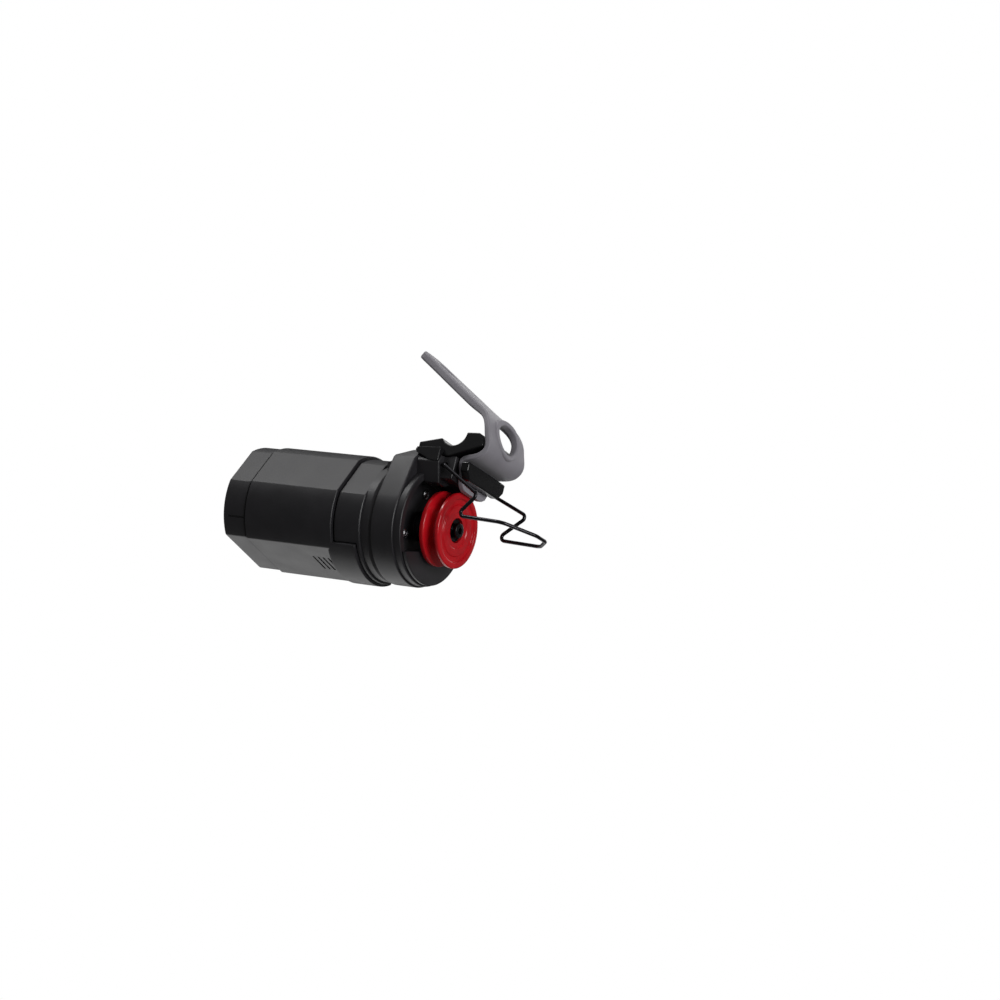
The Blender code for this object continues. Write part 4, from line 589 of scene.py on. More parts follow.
# The barrel: radii, and places ahead of the head's front face
BOARD_TOP = 10.4 * MM
DISPLAY_THICKNESS = 1.4 * MM
FLAT_INSIDE = 12.96 * MM
FLAT_OUTSIDE = FLAT_INSIDE + SLEEVE_WALL
SLEEVE_RADIUS = FLAT_OUTSIDE / math.cos(DISPLAY[1])
CAP_RADIUS = SLEEVE_RADIUS - 0.5 * MM
SHOULDER_RADIUS = SLEEVE_RADIUS - 0.8 * MM
COLLAR_RADIUS = SHOULDER_RADIUS - 0.6 * MM
SOCKET_RADIUS = COLLAR_RADIUS - 2.6 * MM
HEAD_RADIUS = SLEEVE_RADIUS - 1.0 * MM
HEAD_REAR = -8.9 * MM
TUBE_FRONT = HEAD_REAR - GAP
SHOULDER_FRONT = TUBE_FRONT - 3.0 * MM
SHOULDER_REAR = SHOULDER_FRONT - 8.2 * MM
SHOULDER_EDGE = 0.5 * MM
COLLAR_TAPER = 1.0 * MM
SLEEVE_FRONT = SHOULDER_REAR - GAP
SLEEVE_REAR = SLEEVE_FRONT - 28.1 * MM
TONGUE_FRONT = SHOULDER_FRONT - 1.3 * MM
TONGUE_WALL = 1.2 * MM
TONGUE_HALF_ANGLE = math.radians(41)
TONGUE_ROOT_INSET = math.radians(7)
CAP_FRONT = SLEEVE_REAR - GAP
CAP_REAR = CAP_FRONT - 7.4 * MM
CAP_FLOOR = 3.4 * MM
CAP_EDGE = 0.6 * MM
COIN_SLOT = (14.0 * MM, 2.0 * MM, 1.1 * MM)    # length, width and depth
MARK_WIDTH = 0.5 * MM
MARK_DEPTH = 0.4 * MM
MARK_ANGLE = math.radians(-24)
NECK_LENGTH = 2.8 * MM
CAP_WALL = 2.0 * MM
NECK_RADIUS = CAP_RADIUS * math.cos(LOWER_GRIP[1]) - CAP_WALL - GAP
TUBE_BORE = 8.1 * MM
TUBE_OUTSIDE = 9.5 * MM
TUBE_RING_LENGTH = 1.8 * MM
SEAL_GROOVE_DEPTH = 1.0 * MM
SEAL_GROOVE_HALF = 0.8 * MM
SPIGOT_LENGTH = 3.3 * MM

# Behind the display flat
WINDOW_REAR = SLEEVE_REAR + 4.0 * MM
WINDOW_FRONT = WINDOW_REAR + 15.0 * MM
WINDOW_HALF_WIDTH = 5.0 * MM
WINDOW_PROUD = 0.2 * MM
WINDOW_CORNER = 0.9 * MM
KEY_ALONG = SLEEVE_FRONT - 5.2 * MM
KEY_RADIUS = 2.4 * MM
KEY_FLANGE = 0.7 * MM
KEY_FLANGE_THICKNESS = 0.6 * MM
KEY_PROUD = 0.9 * MM
KEY_DISH = 0.25 * MM
PANEL_BORDER = 0.5 * MM
PANEL_EDGE = 0.15 * MM
FIGURE_HEIGHT = 5.2 * MM
FIGURE_WIDTH = 2.0 * MM
FIGURE_PITCH = 2.75 * MM
FIGURE_STROKE = 0.45 * MM
FIGURE_DEPTH = 0.05 * MM
STROKE_CLEARANCE = 0.65 * FIGURE_STROKE
FIGURES = "0125"
STROKES = {"0": "abcdef", "1": "bc", "2": "abged", "5": "afgcd"}

# Straight grip grooves on the lower flat
GROOVE_COUNT = 5
GROOVE_PITCH = 1.6 * MM
GROOVE_WIDTH = 0.6 * MM
GROOVE_DEPTH = 0.25 * MM
GROOVE_HALF_LENGTH = 3.6 * MM
GROOVES_FROM_FRONT = 3.0 * MM
GROOVE_END = 0.49 * GROOVE_WIDTH    # just under half, so that the round ends keep a short straight


def tongue_sector(name, inner, outer, rear, front, spread):
    """A sector of a ring under the lower flat, for the tongue and for its seat."""
    return sector(name, inner, outer, rear, front, LOWER_GRIP[0], TONGUE_HALF_ANGLE + spread)


class COUNTER_OT_sleeve(bpy.types.Operator):
    """Model the barrel's outer shell"""
    bl_idname = "counter.sleeve"
    bl_label = "Sleeve"

    def execute(self, context):
        wall, edge = context.scene.counter_sizes.sleeve_wall, context.scene.counter_sizes.edge
        radius = SLEEVE_RADIUS
        sleeve = flatted("sleeve", SLEEVE_REAR, SLEEVE_FRONT, radius, ALL_FLATS)
        soften(sleeve, edge)
        boolean(sleeve, flatted("sleeve_core", SLEEVE_REAR - OVERRUN, SLEEVE_FRONT + OVERRUN, radius,
                                ALL_FLATS, wall, 0.0), 'DIFFERENCE')
        tongue = tongue_sector("tongue", radius - TONGUE_WALL, radius, SLEEVE_FRONT - wall,
                               TONGUE_FRONT, 0.0)
        boolean(sleeve, soften(tongue, edge), 'UNION')
        inside = radius * math.cos(LOWER_GRIP[1]) - wall
        root = tongue_sector("tongue_root", inside - SINK, radius - edge, SLEEVE_FRONT - wall - SINK,
                             SLEEVE_FRONT, -TONGUE_ROOT_INSET)
        boolean(sleeve, root, 'UNION')
        opening = block("window_opening",
                        (WINDOW_REAR - GAP, -WINDOW_HALF_WIDTH - GAP, FLAT_INSIDE - OVERRUN),
                        (WINDOW_FRONT + GAP, WINDOW_HALF_WIDTH + GAP, FLAT_OUTSIDE + OVERRUN),
                        WINDOW_CORNER)
        boolean(sleeve, placed(opening, SCREEN), 'DIFFERENCE')
        hole = upright("key_opening", [(FLAT_INSIDE - OVERRUN, KEY_RADIUS + GAP, 0),
                                       (FLAT_OUTSIDE + OVERRUN, KEY_RADIUS + GAP, 0)], KEY_ALONG)
        boolean(sleeve, hole, 'DIFFERENCE')
        self.cut_grooves(sleeve)
        finish(sleeve, "abs_spark_grained", "root", ["barrel_sleeve"])
        return {'FINISHED'}

    def cut_grooves(self, sleeve):
        """Short straight grooves across the lower flat, where a thumb turns the barrel."""
        face = SLEEVE_RADIUS * math.cos(LOWER_GRIP[1])
        turn = BARREL @ Matrix.Rotation(math.pi / 2 - LOWER_GRIP[0], 4, 'X')
        for number in range(GROOVE_COUNT):
            front = SLEEVE_FRONT - GROOVES_FROM_FRONT - number * GROOVE_PITCH
            groove = block("grip_groove", (front - GROOVE_WIDTH, -GROOVE_HALF_LENGTH, face - GROOVE_DEPTH),
                           (front, GROOVE_HALF_LENGTH, face + OVERRUN), GROOVE_END)
            boolean(sleeve, placed(groove, turn), 'DIFFERENCE')


class COUNTER_OT_tube(bpy.types.Operator):
    """Model the inner tube with the shoulder that shows ahead of the sleeve"""
    bl_idname = "counter.tube"
    bl_label = "Inner Tube"

    def execute(self, context):
        edge = context.scene.counter_sizes.edge
        ring = SLEEVE_RADIUS * math.cos(LOWER_GRIP[1]) - context.scene.counter_sizes.sleeve_wall - GAP
        rear = CAP_FRONT - NECK_LENGTH
        seal = rear + NECK_LENGTH / 2
        floor = NECK_RADIUS - SEAL_GROOVE_DEPTH
        tube = turned("tube", [
            (rear, 0, 0), (rear, NECK_RADIUS, 0), (seal - SEAL_GROOVE_HALF, NECK_RADIUS, 0),
            (seal - SEAL_GROOVE_HALF, floor, 0), (seal + SEAL_GROOVE_HALF, floor, 0),
            (seal + SEAL_GROOVE_HALF, NECK_RADIUS, 0), (CAP_FRONT + GAP, NECK_RADIUS, 0),
            (CAP_FRONT + GAP, ring, 0), (CAP_FRONT + GAP + TUBE_RING_LENGTH, ring, 0),
            (CAP_FRONT + GAP + TUBE_RING_LENGTH, TUBE_OUTSIDE, 0),
            (SHOULDER_FRONT - SINK, TUBE_OUTSIDE, 0), (SHOULDER_FRONT - SINK, COLLAR_RADIUS, 0),
            (TUBE_FRONT - COLLAR_TAPER, COLLAR_RADIUS, edge),
            (TUBE_FRONT, COLLAR_RADIUS - SHOULDER_EDGE, 0), (TUBE_FRONT, 0, 0)])
        shoulder = flatted("shoulder", SHOULDER_REAR, SHOULDER_FRONT, SHOULDER_RADIUS,
                           (UPPER_GRIP, DISPLAY))
        boolean(tube, soften(shoulder, SHOULDER_EDGE), 'UNION')
        boolean(tube, drum("tube_bore", rear - OVERRUN, SHOULDER_REAR, TUBE_BORE), 'DIFFERENCE')
        boolean(tube, drum("spigot_socket", HEAD_REAR - SPIGOT_LENGTH - GAP, TUBE_FRONT + OVERRUN,
                           SOCKET_RADIUS), 'DIFFERENCE')
        seat = tongue_sector("tongue_seat", SLEEVE_RADIUS - TONGUE_WALL - GAP, SLEEVE_RADIUS + OVERRUN,
                             SHOULDER_REAR - OVERRUN, TONGUE_FRONT + GAP, GAP / SLEEVE_RADIUS)
        boolean(tube, seat, 'DIFFERENCE')
        finish(tube, "abs_spark_grained", "root", ["battery_tube"])
        return {'FINISHED'}


class COUNTER_OT_cap(bpy.types.Operator):
    """Model the battery cap"""
    bl_idname = "counter.cap"
    bl_label = "Battery Cap"

    def execute(self, context):
        cap = flatted("cap", CAP_REAR, CAP_FRONT, CAP_RADIUS, ALL_FLATS)
        soften(cap, CAP_EDGE)
        boolean(cap, drum("cap_cavity", CAP_REAR + CAP_FLOOR, CAP_FRONT + OVERRUN, NECK_RADIUS + GAP),
                'DIFFERENCE')
        length, width, depth = COIN_SLOT
        slot = block("coin_slot", (CAP_REAR - OVERRUN, -length / 2, -width / 2),
                     (CAP_REAR + depth, length / 2, width / 2))
        boolean(cap, placed(slot, BARREL), 'DIFFERENCE')
        mark = block("alignment_mark", (CAP_REAR + CAP_FLOOR / 2, -CAP_RADIUS - OVERRUN, -MARK_WIDTH / 2),
                     (CAP_FRONT + OVERRUN, MARK_DEPTH - CAP_RADIUS, MARK_WIDTH / 2))
        boolean(cap, placed(mark, BARREL @ Matrix.Rotation(-MARK_ANGLE, 4, 'X')), 'DIFFERENCE')
        finish(cap, "abs_spark_grained", "cap", ["battery_cap"])
        return {'FINISHED'}


class COUNTER_OT_display(bpy.types.Operator):
    """Model the display with its figures, its window and the reset key"""
    bl_idname = "counter.display"
    bl_label = "Display and Key"

    def execute(self, context):
        half = WINDOW_HALF_WIDTH + PANEL_BORDER
        bottom = BOARD_TOP + GAP
        top = bottom + DISPLAY_THICKNESS
        panel = block("panel", (WINDOW_REAR - PANEL_BORDER, -half, bottom),
                      (WINDOW_FRONT + PANEL_BORDER, half, top))
        soften(panel, PANEL_EDGE, 2)
        finish(placed(panel, SCREEN), "display_glass", "root", ["display_panel"])
        figures = joined(self.figures(top))
        middle = (WINDOW_REAR + WINDOW_FRONT) / 2
        upside = Matrix.Translation((middle, 0, 0)) @ Matrix.Rotation(math.pi, 4, 'Z')
        finish(placed(figures, SCREEN @ upside), "display_ink", "root")
        window = block("window", (WINDOW_REAR, -WINDOW_HALF_WIDTH, FLAT_INSIDE),
                       (WINDOW_FRONT, WINDOW_HALF_WIDTH, FLAT_OUTSIDE + WINDOW_PROUD),
                       WINDOW_CORNER - GAP)
        soften(window, WINDOW_PROUD)
        finish(placed(window, SCREEN), "polycarbonate_clear", "root", ["display_window"])
        flange = FLAT_INSIDE - GAP
        crown = FLAT_OUTSIDE + KEY_PROUD
        key = upright("key", [
            (flange - KEY_FLANGE_THICKNESS, KEY_RADIUS + KEY_FLANGE, 0),
            (flange, KEY_RADIUS + KEY_FLANGE, 0), (flange, KEY_RADIUS, 0),
            (crown, KEY_RADIUS, KEY_PROUD / 2), (crown - KEY_DISH, KEY_RADIUS / 2, KEY_DISH)], KEY_ALONG)
        finish(key, "key_rubber", "key", ["reset_key"])
        return {'FINISHED'}

    def figures(self, face):
        """The strokes of the display's plain figures, with a point before the last one."""
        start = -(len(FIGURES) - 1) * FIGURE_PITCH / 2
        pieces = []
        for number, figure in enumerate(FIGURES):
            middle = start + number * FIGURE_PITCH
            for stroke in STROKES[figure]:
                pieces.append(self.stroke(middle, stroke, face))
        point = start + (len(FIGURES) - 1.5) * FIGURE_PITCH
        half = FIGURE_STROKE / 2
        pieces.append(block("figures", (point - half, -FIGURE_HEIGHT / 2 - half, face),
                            (point + half, -FIGURE_HEIGHT / 2 + half, face + FIGURE_DEPTH)))
        return pieces

    def stroke(self, middle, stroke, face):
        """One of a figure's seven strokes: a to f run round from the top, g is the middle one."""
        half, side, reach = FIGURE_STROKE / 2, FIGURE_WIDTH / 2, FIGURE_HEIGHT / 2
        clear = STROKE_CLEARANCE
        if stroke in "agd":
            height = {"a": reach, "g": 0.0, "d": -reach}[stroke]
            low = (middle - side + clear, height - half)
            high = (middle + side - clear, height + half)
        else:
            across = side if stroke in "bc" else -side
            foot = 0.0 if stroke in "bf" else -reach
            low = (middle + across - half, foot + clear)
            high = (middle + across + half, foot + reach - clear)
        return block("figures", (*low, face), (*high, face + FIGURE_DEPTH))


# The head, from its front face
RIM_RADIUS = HEAD_RADIUS - 0.5 * MM
RIM_LENGTH = 2.1 * MM
HEAD_EDGE = 0.4 * MM
POCKET_RADIUS = HEAD_RADIUS - 2.3 * MM
POCKET_BACK = HEAD_REAR + 1.7 * MM
FLANK_LEAN = math.radians(14)
ARM_TOP = HEAD_RADIUS + 1.8 * MM
ARM_SHOULDER = ARM_TOP - 3.0 * MM
ARM_SHOULDER_HALF = (HEAD_RADIUS - ARM_SHOULDER * math.sin(FLANK_LEAN)) / math.cos(FLANK_LEAN)
BLOCK_HALF_WIDTH = ARM_SHOULDER_HALF - 0.95 * MM
ARM_TOP_HALF_WIDTH = BLOCK_HALF_WIDTH - 1.7 * MM
BLOCK_REACH = 4.6 * MM
BLOCK_BOTTOM = ARM_TOP - 8.2 * MM
NOSE_HALF_WIDTH = ARM_TOP_HALF_WIDTH - 0.7 * MM
NOSE_REACH = 8.2 * MM
NOSE_HEIGHT = 6.4 * MM
BLOCK_UNDERCUT = 2.6 * MM    # how far the block's flanks lean in, going down
HOOD_CLEARANCE = 1.55 * MM
SLOPE_START = -4.6 * MM      # where the arm's slanted rear top begins
SLOPE = math.tan(math.radians(30.5))
RIDGE_REAR = -11.6 * MM
RIDGE_HALF_WIDTH = 10.6 * MM
RIDGE_ROOT = COLLAR_RADIUS / 2
CATCH_HALF_WIDTH = 2.1 * MM
CATCH_INSET = 0.7 * MM
CATCH_THICKNESS = 1.8 * MM
CATCH_RISE = 3.0 * MM
CATCH_LIP = 1.6 * MM
CATCH_LIP_THICKNESS = 0.9 * MM
CATCH_EDGE = 0.2 * MM

# The wheel, from the head's front face
WHEEL_FRONT = WHEEL_REAR + 6.0 * MM
WHEEL_RADIUS = (WHEEL_HIGH.z - WHEEL_LOW.z) / 2
GROOVE_FLOOR = WHEEL_RADIUS - 3.15 * MM
GROOVE_FLOOR_HALF = 0.45 * MM
REAR_RIM = 1.3 * MM
FRONT_RIM = 1.1 * MM
RIM_ROUNDING = 0.4 * MM
CHANNEL_OUTER = WHEEL_RADIUS - 1.55 * MM
CHANNEL_INNER = CHANNEL_OUTER - 1.8 * MM
CHANNEL_DEPTH = 0.6 * MM
BEARING_RADIUS = 3.0 * MM
BEARING_WIDTH = 1.6 * MM
BEARING_SEAT = BEARING_RADIUS + GAP
WHEEL_BOSS = BEARING_RADIUS + 1.9 * MM
LAND_DEPTH = 0.2 * MM
BOSS_DEPTH = 0.5 * MM
WEB_REAR = WHEEL_REAR + 2 * GAP + BEARING_WIDTH
WEB_FRONT = WEB_REAR + 1.0 * MM
WEB_RADIUS = 2.3 * MM
MAGNET_RADIUS = 1.4 * MM
MAGNET_THICKNESS = 1.3 * MM
MAGNET_CIRCLE = 5.2 * MM

# The rod seat, from the rod's axis
PAD_LOW, PAD_HIGH = (Vector(corner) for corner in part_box("saddle_pad"))
PAD_REAR_DROP = 3.7 * MM
PAD_REAR_LIP = 2.1 * MM
PAD_FRONT_DROP = 3.2 * MM
PAD_FRONT_LEAN = 0.9 * MM
PAD_KEEL = 2.4 * MM
PAD_LIP_EDGE = 0.9 * MM
PAD_EDGE = 0.45 * MM
SEAT_RADIUS = 3.85 * MM
SEAT_REAR_DROP = 2.1 * MM
SEAT_STEPS = 32

# The rod seat's laps over the arm's shoulders, their outline as (x, z)
LAP_OUTLINE = ((-8.9 * MM, -5.6 * MM), (-8.8 * MM, -7.05 * MM), (-6.05 * MM, -8.05 * MM),
               (-4.9 * MM, -8.7 * MM), (-3.15 * MM, -8.93 * MM), (-1.7 * MM, -8.85 * MM),
               (-1.7 * MM, -5.2 * MM))
LAP_PROUD = 0.15 * MM
LAP_GAP = 0.05 * MM
LAP_EDGE = 0.12 * MM
LAP_ROOM = ((-0.5, -0.5), (1.5, 1.5), (-0.5, 1.5))    # the shoulder's slant run on, as shares out and down

# The lug and the bail
LUG_LOW, LUG_HIGH = (Vector(corner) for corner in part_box("strap_lug"))
LUG_THICKNESS = 2.4 * MM
LUG_CORNER = 2.2 * MM
LUG_EDGE = 0.5 * MM
NECK_HALF_WIDTH = 2.8 * MM
NECK_HEIGHT = 2.4 * MM
NECK_SOCKET = 3.0 * MM
BAIL_PIVOT = (5.5 * MM, ARM_TOP - 3.2 * MM)
BAIL_HALF_WIDTH = NOSE_HALF_WIDTH + 1.4 * MM
BAIL_STUB = 4.4 * MM

# The front cover, from the head's front face
COVER_REAR = POCKET_BACK + 2.5 * MM
COVER_FRONT = COVER_REAR + 1.2 * MM
COVER_RADIUS = POCKET_RADIUS - GAP
BOSS_RADIUS = 4.0 * MM
BOSS_FRONT = 1.2 * MM
MOON_REAR = GAP
MOON_FRONT = 1.2 * MM
MOON_RADIUS = RIM_RADIUS - 0.4 * MM
MOON_CHORD = MOON_RADIUS * 0.4
MOON_ROLL = math.radians(-107)
MOON_EDGE_ANGLE = math.radians(60)
STEP_RADIUS = POCKET_RADIUS - 1.5 * MM
STEP_HEIGHT = 0.9 * MM
STEP_WALL = 0.7 * MM
BUSH_RADIUS = 2.1 * MM
BUSH_FLANGE_RADIUS = 2.6 * MM
BUSH_FLANGE = 0.6 * MM
BUSH_FRONT = WHEEL_REAR
SCREW_CIRCLE = POCKET_RADIUS - 5.3 * MM
SCREW_ANGLES = (math.radians(-28), math.radians(76), math.radians(180))
SCREW_SHANK = 0.6 * MM
SCREW_HEAD = 1.3 * MM
SCREW_HEAD_HEIGHT = 0.7 * MM
SCREW_DEPTH = 1.1 * MM
CROSS_WIDTH = 0.32 * MM
CROSS_LENGTH = 1.5 * MM
CROSS_DEPTH = 0.4 * MM


def head_outline(ahead):
    """The head plate's outline: round below, its flanks leaning in to a chamfered top."""
    start = math.pi - FLANK_LEAN
    turn = math.pi + 2 * FLANK_LEAN
    count = math.ceil(turn / ARC_STEP)
    outline = [around(HEAD_RADIUS, start + turn * step / count) for step in range(count + 1)]
    outline += [(-ARM_SHOULDER_HALF, ARM_SHOULDER), (-ARM_TOP_HALF_WIDTH, ARM_TOP),
                (ARM_TOP_HALF_WIDTH, ARM_TOP), (ARM_SHOULDER_HALF, ARM_SHOULDER)]
    return [barrel_point(ahead, side, height) for side, height in outline]


def pad_underside(spread):
    """The rod seat's underside from rear to front, let out by a gap, as (x, z)."""
    return [(PAD_LOW.x - spread, -PAD_REAR_DROP - PAD_REAR_LIP - spread), (-PAD_KEEL, PAD_LOW.z - spread),
            (0.0, PAD_LOW.z - spread), (PAD_HIGH.x + spread, -PAD_FRONT_DROP - spread)]


def screw_points():
    """Where the cover screws stand, as (side, height) from the barrel's axis."""
    return [around(SCREW_CIRCLE, angle) for angle in SCREW_ANGLES]


def drill_screws(piece):
    """Cut the three cover screws' holes."""
    for side, height in screw_points():
        hole = drum("screw_hole", POCKET_BACK - SCREW_DEPTH - GAP, COVER_FRONT + OVERRUN,
                    SCREW_SHANK + GAP, SMALL_STEPS, barrel_point(0, side, height))
        boolean(piece, hole, 'DIFFERENCE')


class COUNTER_OT_head(bpy.types.Operator):
    """Model the head housing with its arm, hood, catch and rod trough"""
    bl_idname = "counter.head"
    bl_label = "Head Housing"

    def execute(self, context):
        head = prism("head", head_outline(HEAD_REAR), (-RIM_LENGTH - HEAD_REAR, 0, 0))
        soften(head, HEAD_EDGE)
        rim = turned("head_rim", [(-RIM_LENGTH - SINK, 0, 0), (-RIM_LENGTH - SINK, RIM_RADIUS, 0),
                                  (0, RIM_RADIUS, HEAD_EDGE), (0, 0, 0)])
        boolean(head, rim, 'UNION')
        boolean(head, self.brow(), 'UNION')
        boolean(head, self.ridge(), 'UNION')
        boolean(head, self.slope_cutter(), 'DIFFERENCE')
        radius = SOCKET_RADIUS - GAP
        seal = HEAD_REAR - SPIGOT_LENGTH / 2
        floor = radius - SEAL_GROOVE_DEPTH
        boolean(head, turned("spigot", [
            (HEAD_REAR - SPIGOT_LENGTH, 0, 0), (HEAD_REAR - SPIGOT_LENGTH, radius, HEAD_EDGE),
            (seal - SEAL_GROOVE_HALF, radius, 0), (seal - SEAL_GROOVE_HALF, floor, 0),
            (seal + SEAL_GROOVE_HALF, floor, 0), (seal + SEAL_GROOVE_HALF, radius, 0),
            (HEAD_REAR + SINK, radius, 0), (HEAD_REAR + SINK, 0, 0)]), 'UNION')
        boolean(head, self.catch(), 'UNION')
        boolean(head, drum("pocket", POCKET_BACK, GAP, POCKET_RADIUS), 'DIFFERENCE')
        reach = BLOCK_HALF_WIDTH + OVERRUN
        bed = [Vector((x, -reach, z)) for x, z in pad_underside(GAP)]
        bed += [Vector((PAD_HIGH.x + GAP, -reach, 0)), Vector((PAD_LOW.x - GAP, -reach, 0))]
        boolean(head, prism("rod_trough", bed, (0, 2 * reach, 0)), 'DIFFERENCE')
        middle = (LUG_LOW.z + LUG_HIGH.z) / 2
        wide, high = NECK_HALF_WIDTH + GAP, NECK_HEIGHT / 2 + GAP
        face = FACE + NOSE_REACH
        socket = block("lug_socket", (face - NECK_SOCKET - GAP, -wide, middle - high),
                       (face + OVERRUN, wide, middle + high))
        boolean(head, socket, 'DIFFERENCE')
        ahead, height = BAIL_PIVOT
        for side in (-1, 1):
            hole = drum("bail_hole", -BAIL_STUB - GAP, OVERRUN,
                        context.scene.counter_sizes.wire_radius + GAP, SMALL_STEPS, ORIGIN)
            turn = Matrix.Rotation(side * math.pi / 2, 4, 'Z')
            place = Matrix.Translation(barrel_point(ahead, side * BAIL_HALF_WIDTH, height))
            boolean(head, placed(hole, place @ turn), 'DIFFERENCE')
        drill_screws(head)
        finish(head, "abs_spark_grained", "root", ["head_housing"])
        return {'FINISHED'}

    def brow(self):
        """The arm's block and nose, hooded round the wheel."""
        rear = -RIM_LENGTH - 2 * SINK
        foot = BLOCK_HALF_WIDTH - BLOCK_UNDERCUT
        brow = prism("arm_block", [barrel_point(rear, side, height) for side, height in (
            (-foot, BLOCK_BOTTOM), (foot, BLOCK_BOTTOM), (BLOCK_HALF_WIDTH, ARM_SHOULDER),
            (ARM_TOP_HALF_WIDTH, ARM_TOP), (-ARM_TOP_HALF_WIDTH, ARM_TOP),
            (-BLOCK_HALF_WIDTH, ARM_SHOULDER))], (BLOCK_REACH - rear, 0, 0))
        soften(brow, HEAD_EDGE)
        top = ARM_TOP - SINK
        nose = block("arm_nose", barrel_point(BLOCK_REACH - 2 * SINK, -NOSE_HALF_WIDTH, top - NOSE_HEIGHT),
                     barrel_point(NOSE_REACH, NOSE_HALF_WIDTH, top))
        boolean(brow, soften(nose, HEAD_EDGE), 'UNION')
        hood = drum("wheel_hood", -RIM_LENGTH - OVERRUN, NOSE_REACH + OVERRUN,
                    WHEEL_RADIUS + HOOD_CLEARANCE)
        return boolean(brow, hood, 'DIFFERENCE')

    def slope_height(self, ahead):
        """How high the arm's slanted rear top lies above the barrel's axis."""
        return ARM_TOP + (ahead - SLOPE_START) * SLOPE

    def ridge(self):
        """The thin ridge behind the arm, which carries its slanted top on over the collar."""
        front = HEAD_REAR + 2 * SINK
        places = ((front, self.slope_height(HEAD_REAR)), (RIDGE_REAR, self.slope_height(RIDGE_REAR)),
                  (RIDGE_REAR, RIDGE_ROOT), (front, RIDGE_ROOT))
        ridge = prism("arm_ridge", [barrel_point(a, -RIDGE_HALF_WIDTH, z) for a, z in places],
                      (0, 2 * RIDGE_HALF_WIDTH, 0))
        collar = drum("collar_room", RIDGE_REAR - OVERRUN, HEAD_REAR, COLLAR_RADIUS + GAP)
        return boolean(ridge, collar, 'DIFFERENCE')

    def slope_cutter(self):
        """What is cut off behind and above the slanted rear top."""
        rear = RIDGE_REAR - OVERRUN
        reach = BLOCK_HALF_WIDTH + OVERRUN
        places = ((SLOPE_START, ARM_TOP), (SLOPE_START, ARM_TOP + OVERRUN), (rear, ARM_TOP + OVERRUN),
                  (rear, self.slope_height(rear)))
        return prism("slope", [barrel_point(a, -reach, z) for a, z in places], (0, 2 * reach, 0))

    def catch(self):
        """The hook on the arm's top, its lip turned back and its foot let into the slope."""
        rear = HEAD_REAR + CATCH_INSET
        front = rear + CATCH_THICKNESS
        top = ARM_TOP + CATCH_RISE
        foot = self.slope_height(rear) - SINK
        places = ((front, foot), (front, top), (rear - CATCH_LIP, top),
                  (rear - CATCH_LIP, top - CATCH_LIP_THICKNESS), (rear, top - CATCH_LIP_THICKNESS),
                  (rear, foot))
        hook = prism("catch", [barrel_point(a, -CATCH_HALF_WIDTH, z) for a, z in places],
                     (0, 2 * CATCH_HALF_WIDTH, 0))
        return soften(hook, CATCH_EDGE)


class COUNTER_OT_cover(bpy.types.Operator):
    """Model the front cover with its axle boss and half moon"""
    bl_idname = "counter.cover"
    bl_label = "Front Cover"

    def execute(self, context):
        edge = context.scene.counter_sizes.edge / 2
        top = COVER_FRONT + STEP_HEIGHT
        cover = turned("cover", [
            (COVER_REAR, 0, 0), (COVER_REAR, COVER_RADIUS, 0), (COVER_FRONT, COVER_RADIUS, edge),
            (COVER_FRONT, STEP_RADIUS, edge), (top, STEP_RADIUS, edge),
            (top, STEP_RADIUS - STEP_WALL, edge), (COVER_FRONT, STEP_RADIUS - STEP_WALL, edge),
            (COVER_FRONT, BOSS_RADIUS, edge), (BOSS_FRONT, BOSS_RADIUS, edge), (BOSS_FRONT, 0, 0)])
        inner = COVER_RADIUS - SINK
        moon = turned("half_moon", [
            (COVER_FRONT - SINK, 0, 0), (COVER_FRONT - SINK, inner, 0), (MOON_REAR, inner, 0),
            (MOON_REAR, MOON_RADIUS, 0), (MOON_FRONT, MOON_RADIUS, edge), (MOON_FRONT, 0, 0)])
        reach = MOON_RADIUS + OVERRUN
        above = block("moon_edge", (COVER_FRONT - OVERRUN, -MOON_CHORD, -reach),
                      (MOON_FRONT + OVERRUN, reach, reach))
        boolean(moon, placed(above, BARREL @ Matrix.Rotation(-MOON_ROLL, 4, 'X')), 'DIFFERENCE')
        soften(moon, edge, 2, MOON_EDGE_ANGLE)
        boolean(cover, moon, 'UNION')
        boolean(cover, drum("bush_bore", COVER_REAR - OVERRUN, BOSS_FRONT + OVERRUN, BUSH_RADIUS + GAP),
                'DIFFERENCE')
        drill_screws(cover)
        finish(cover, "abs_spark_grained", "root", ["front_cover"])
        return {'FINISHED'}


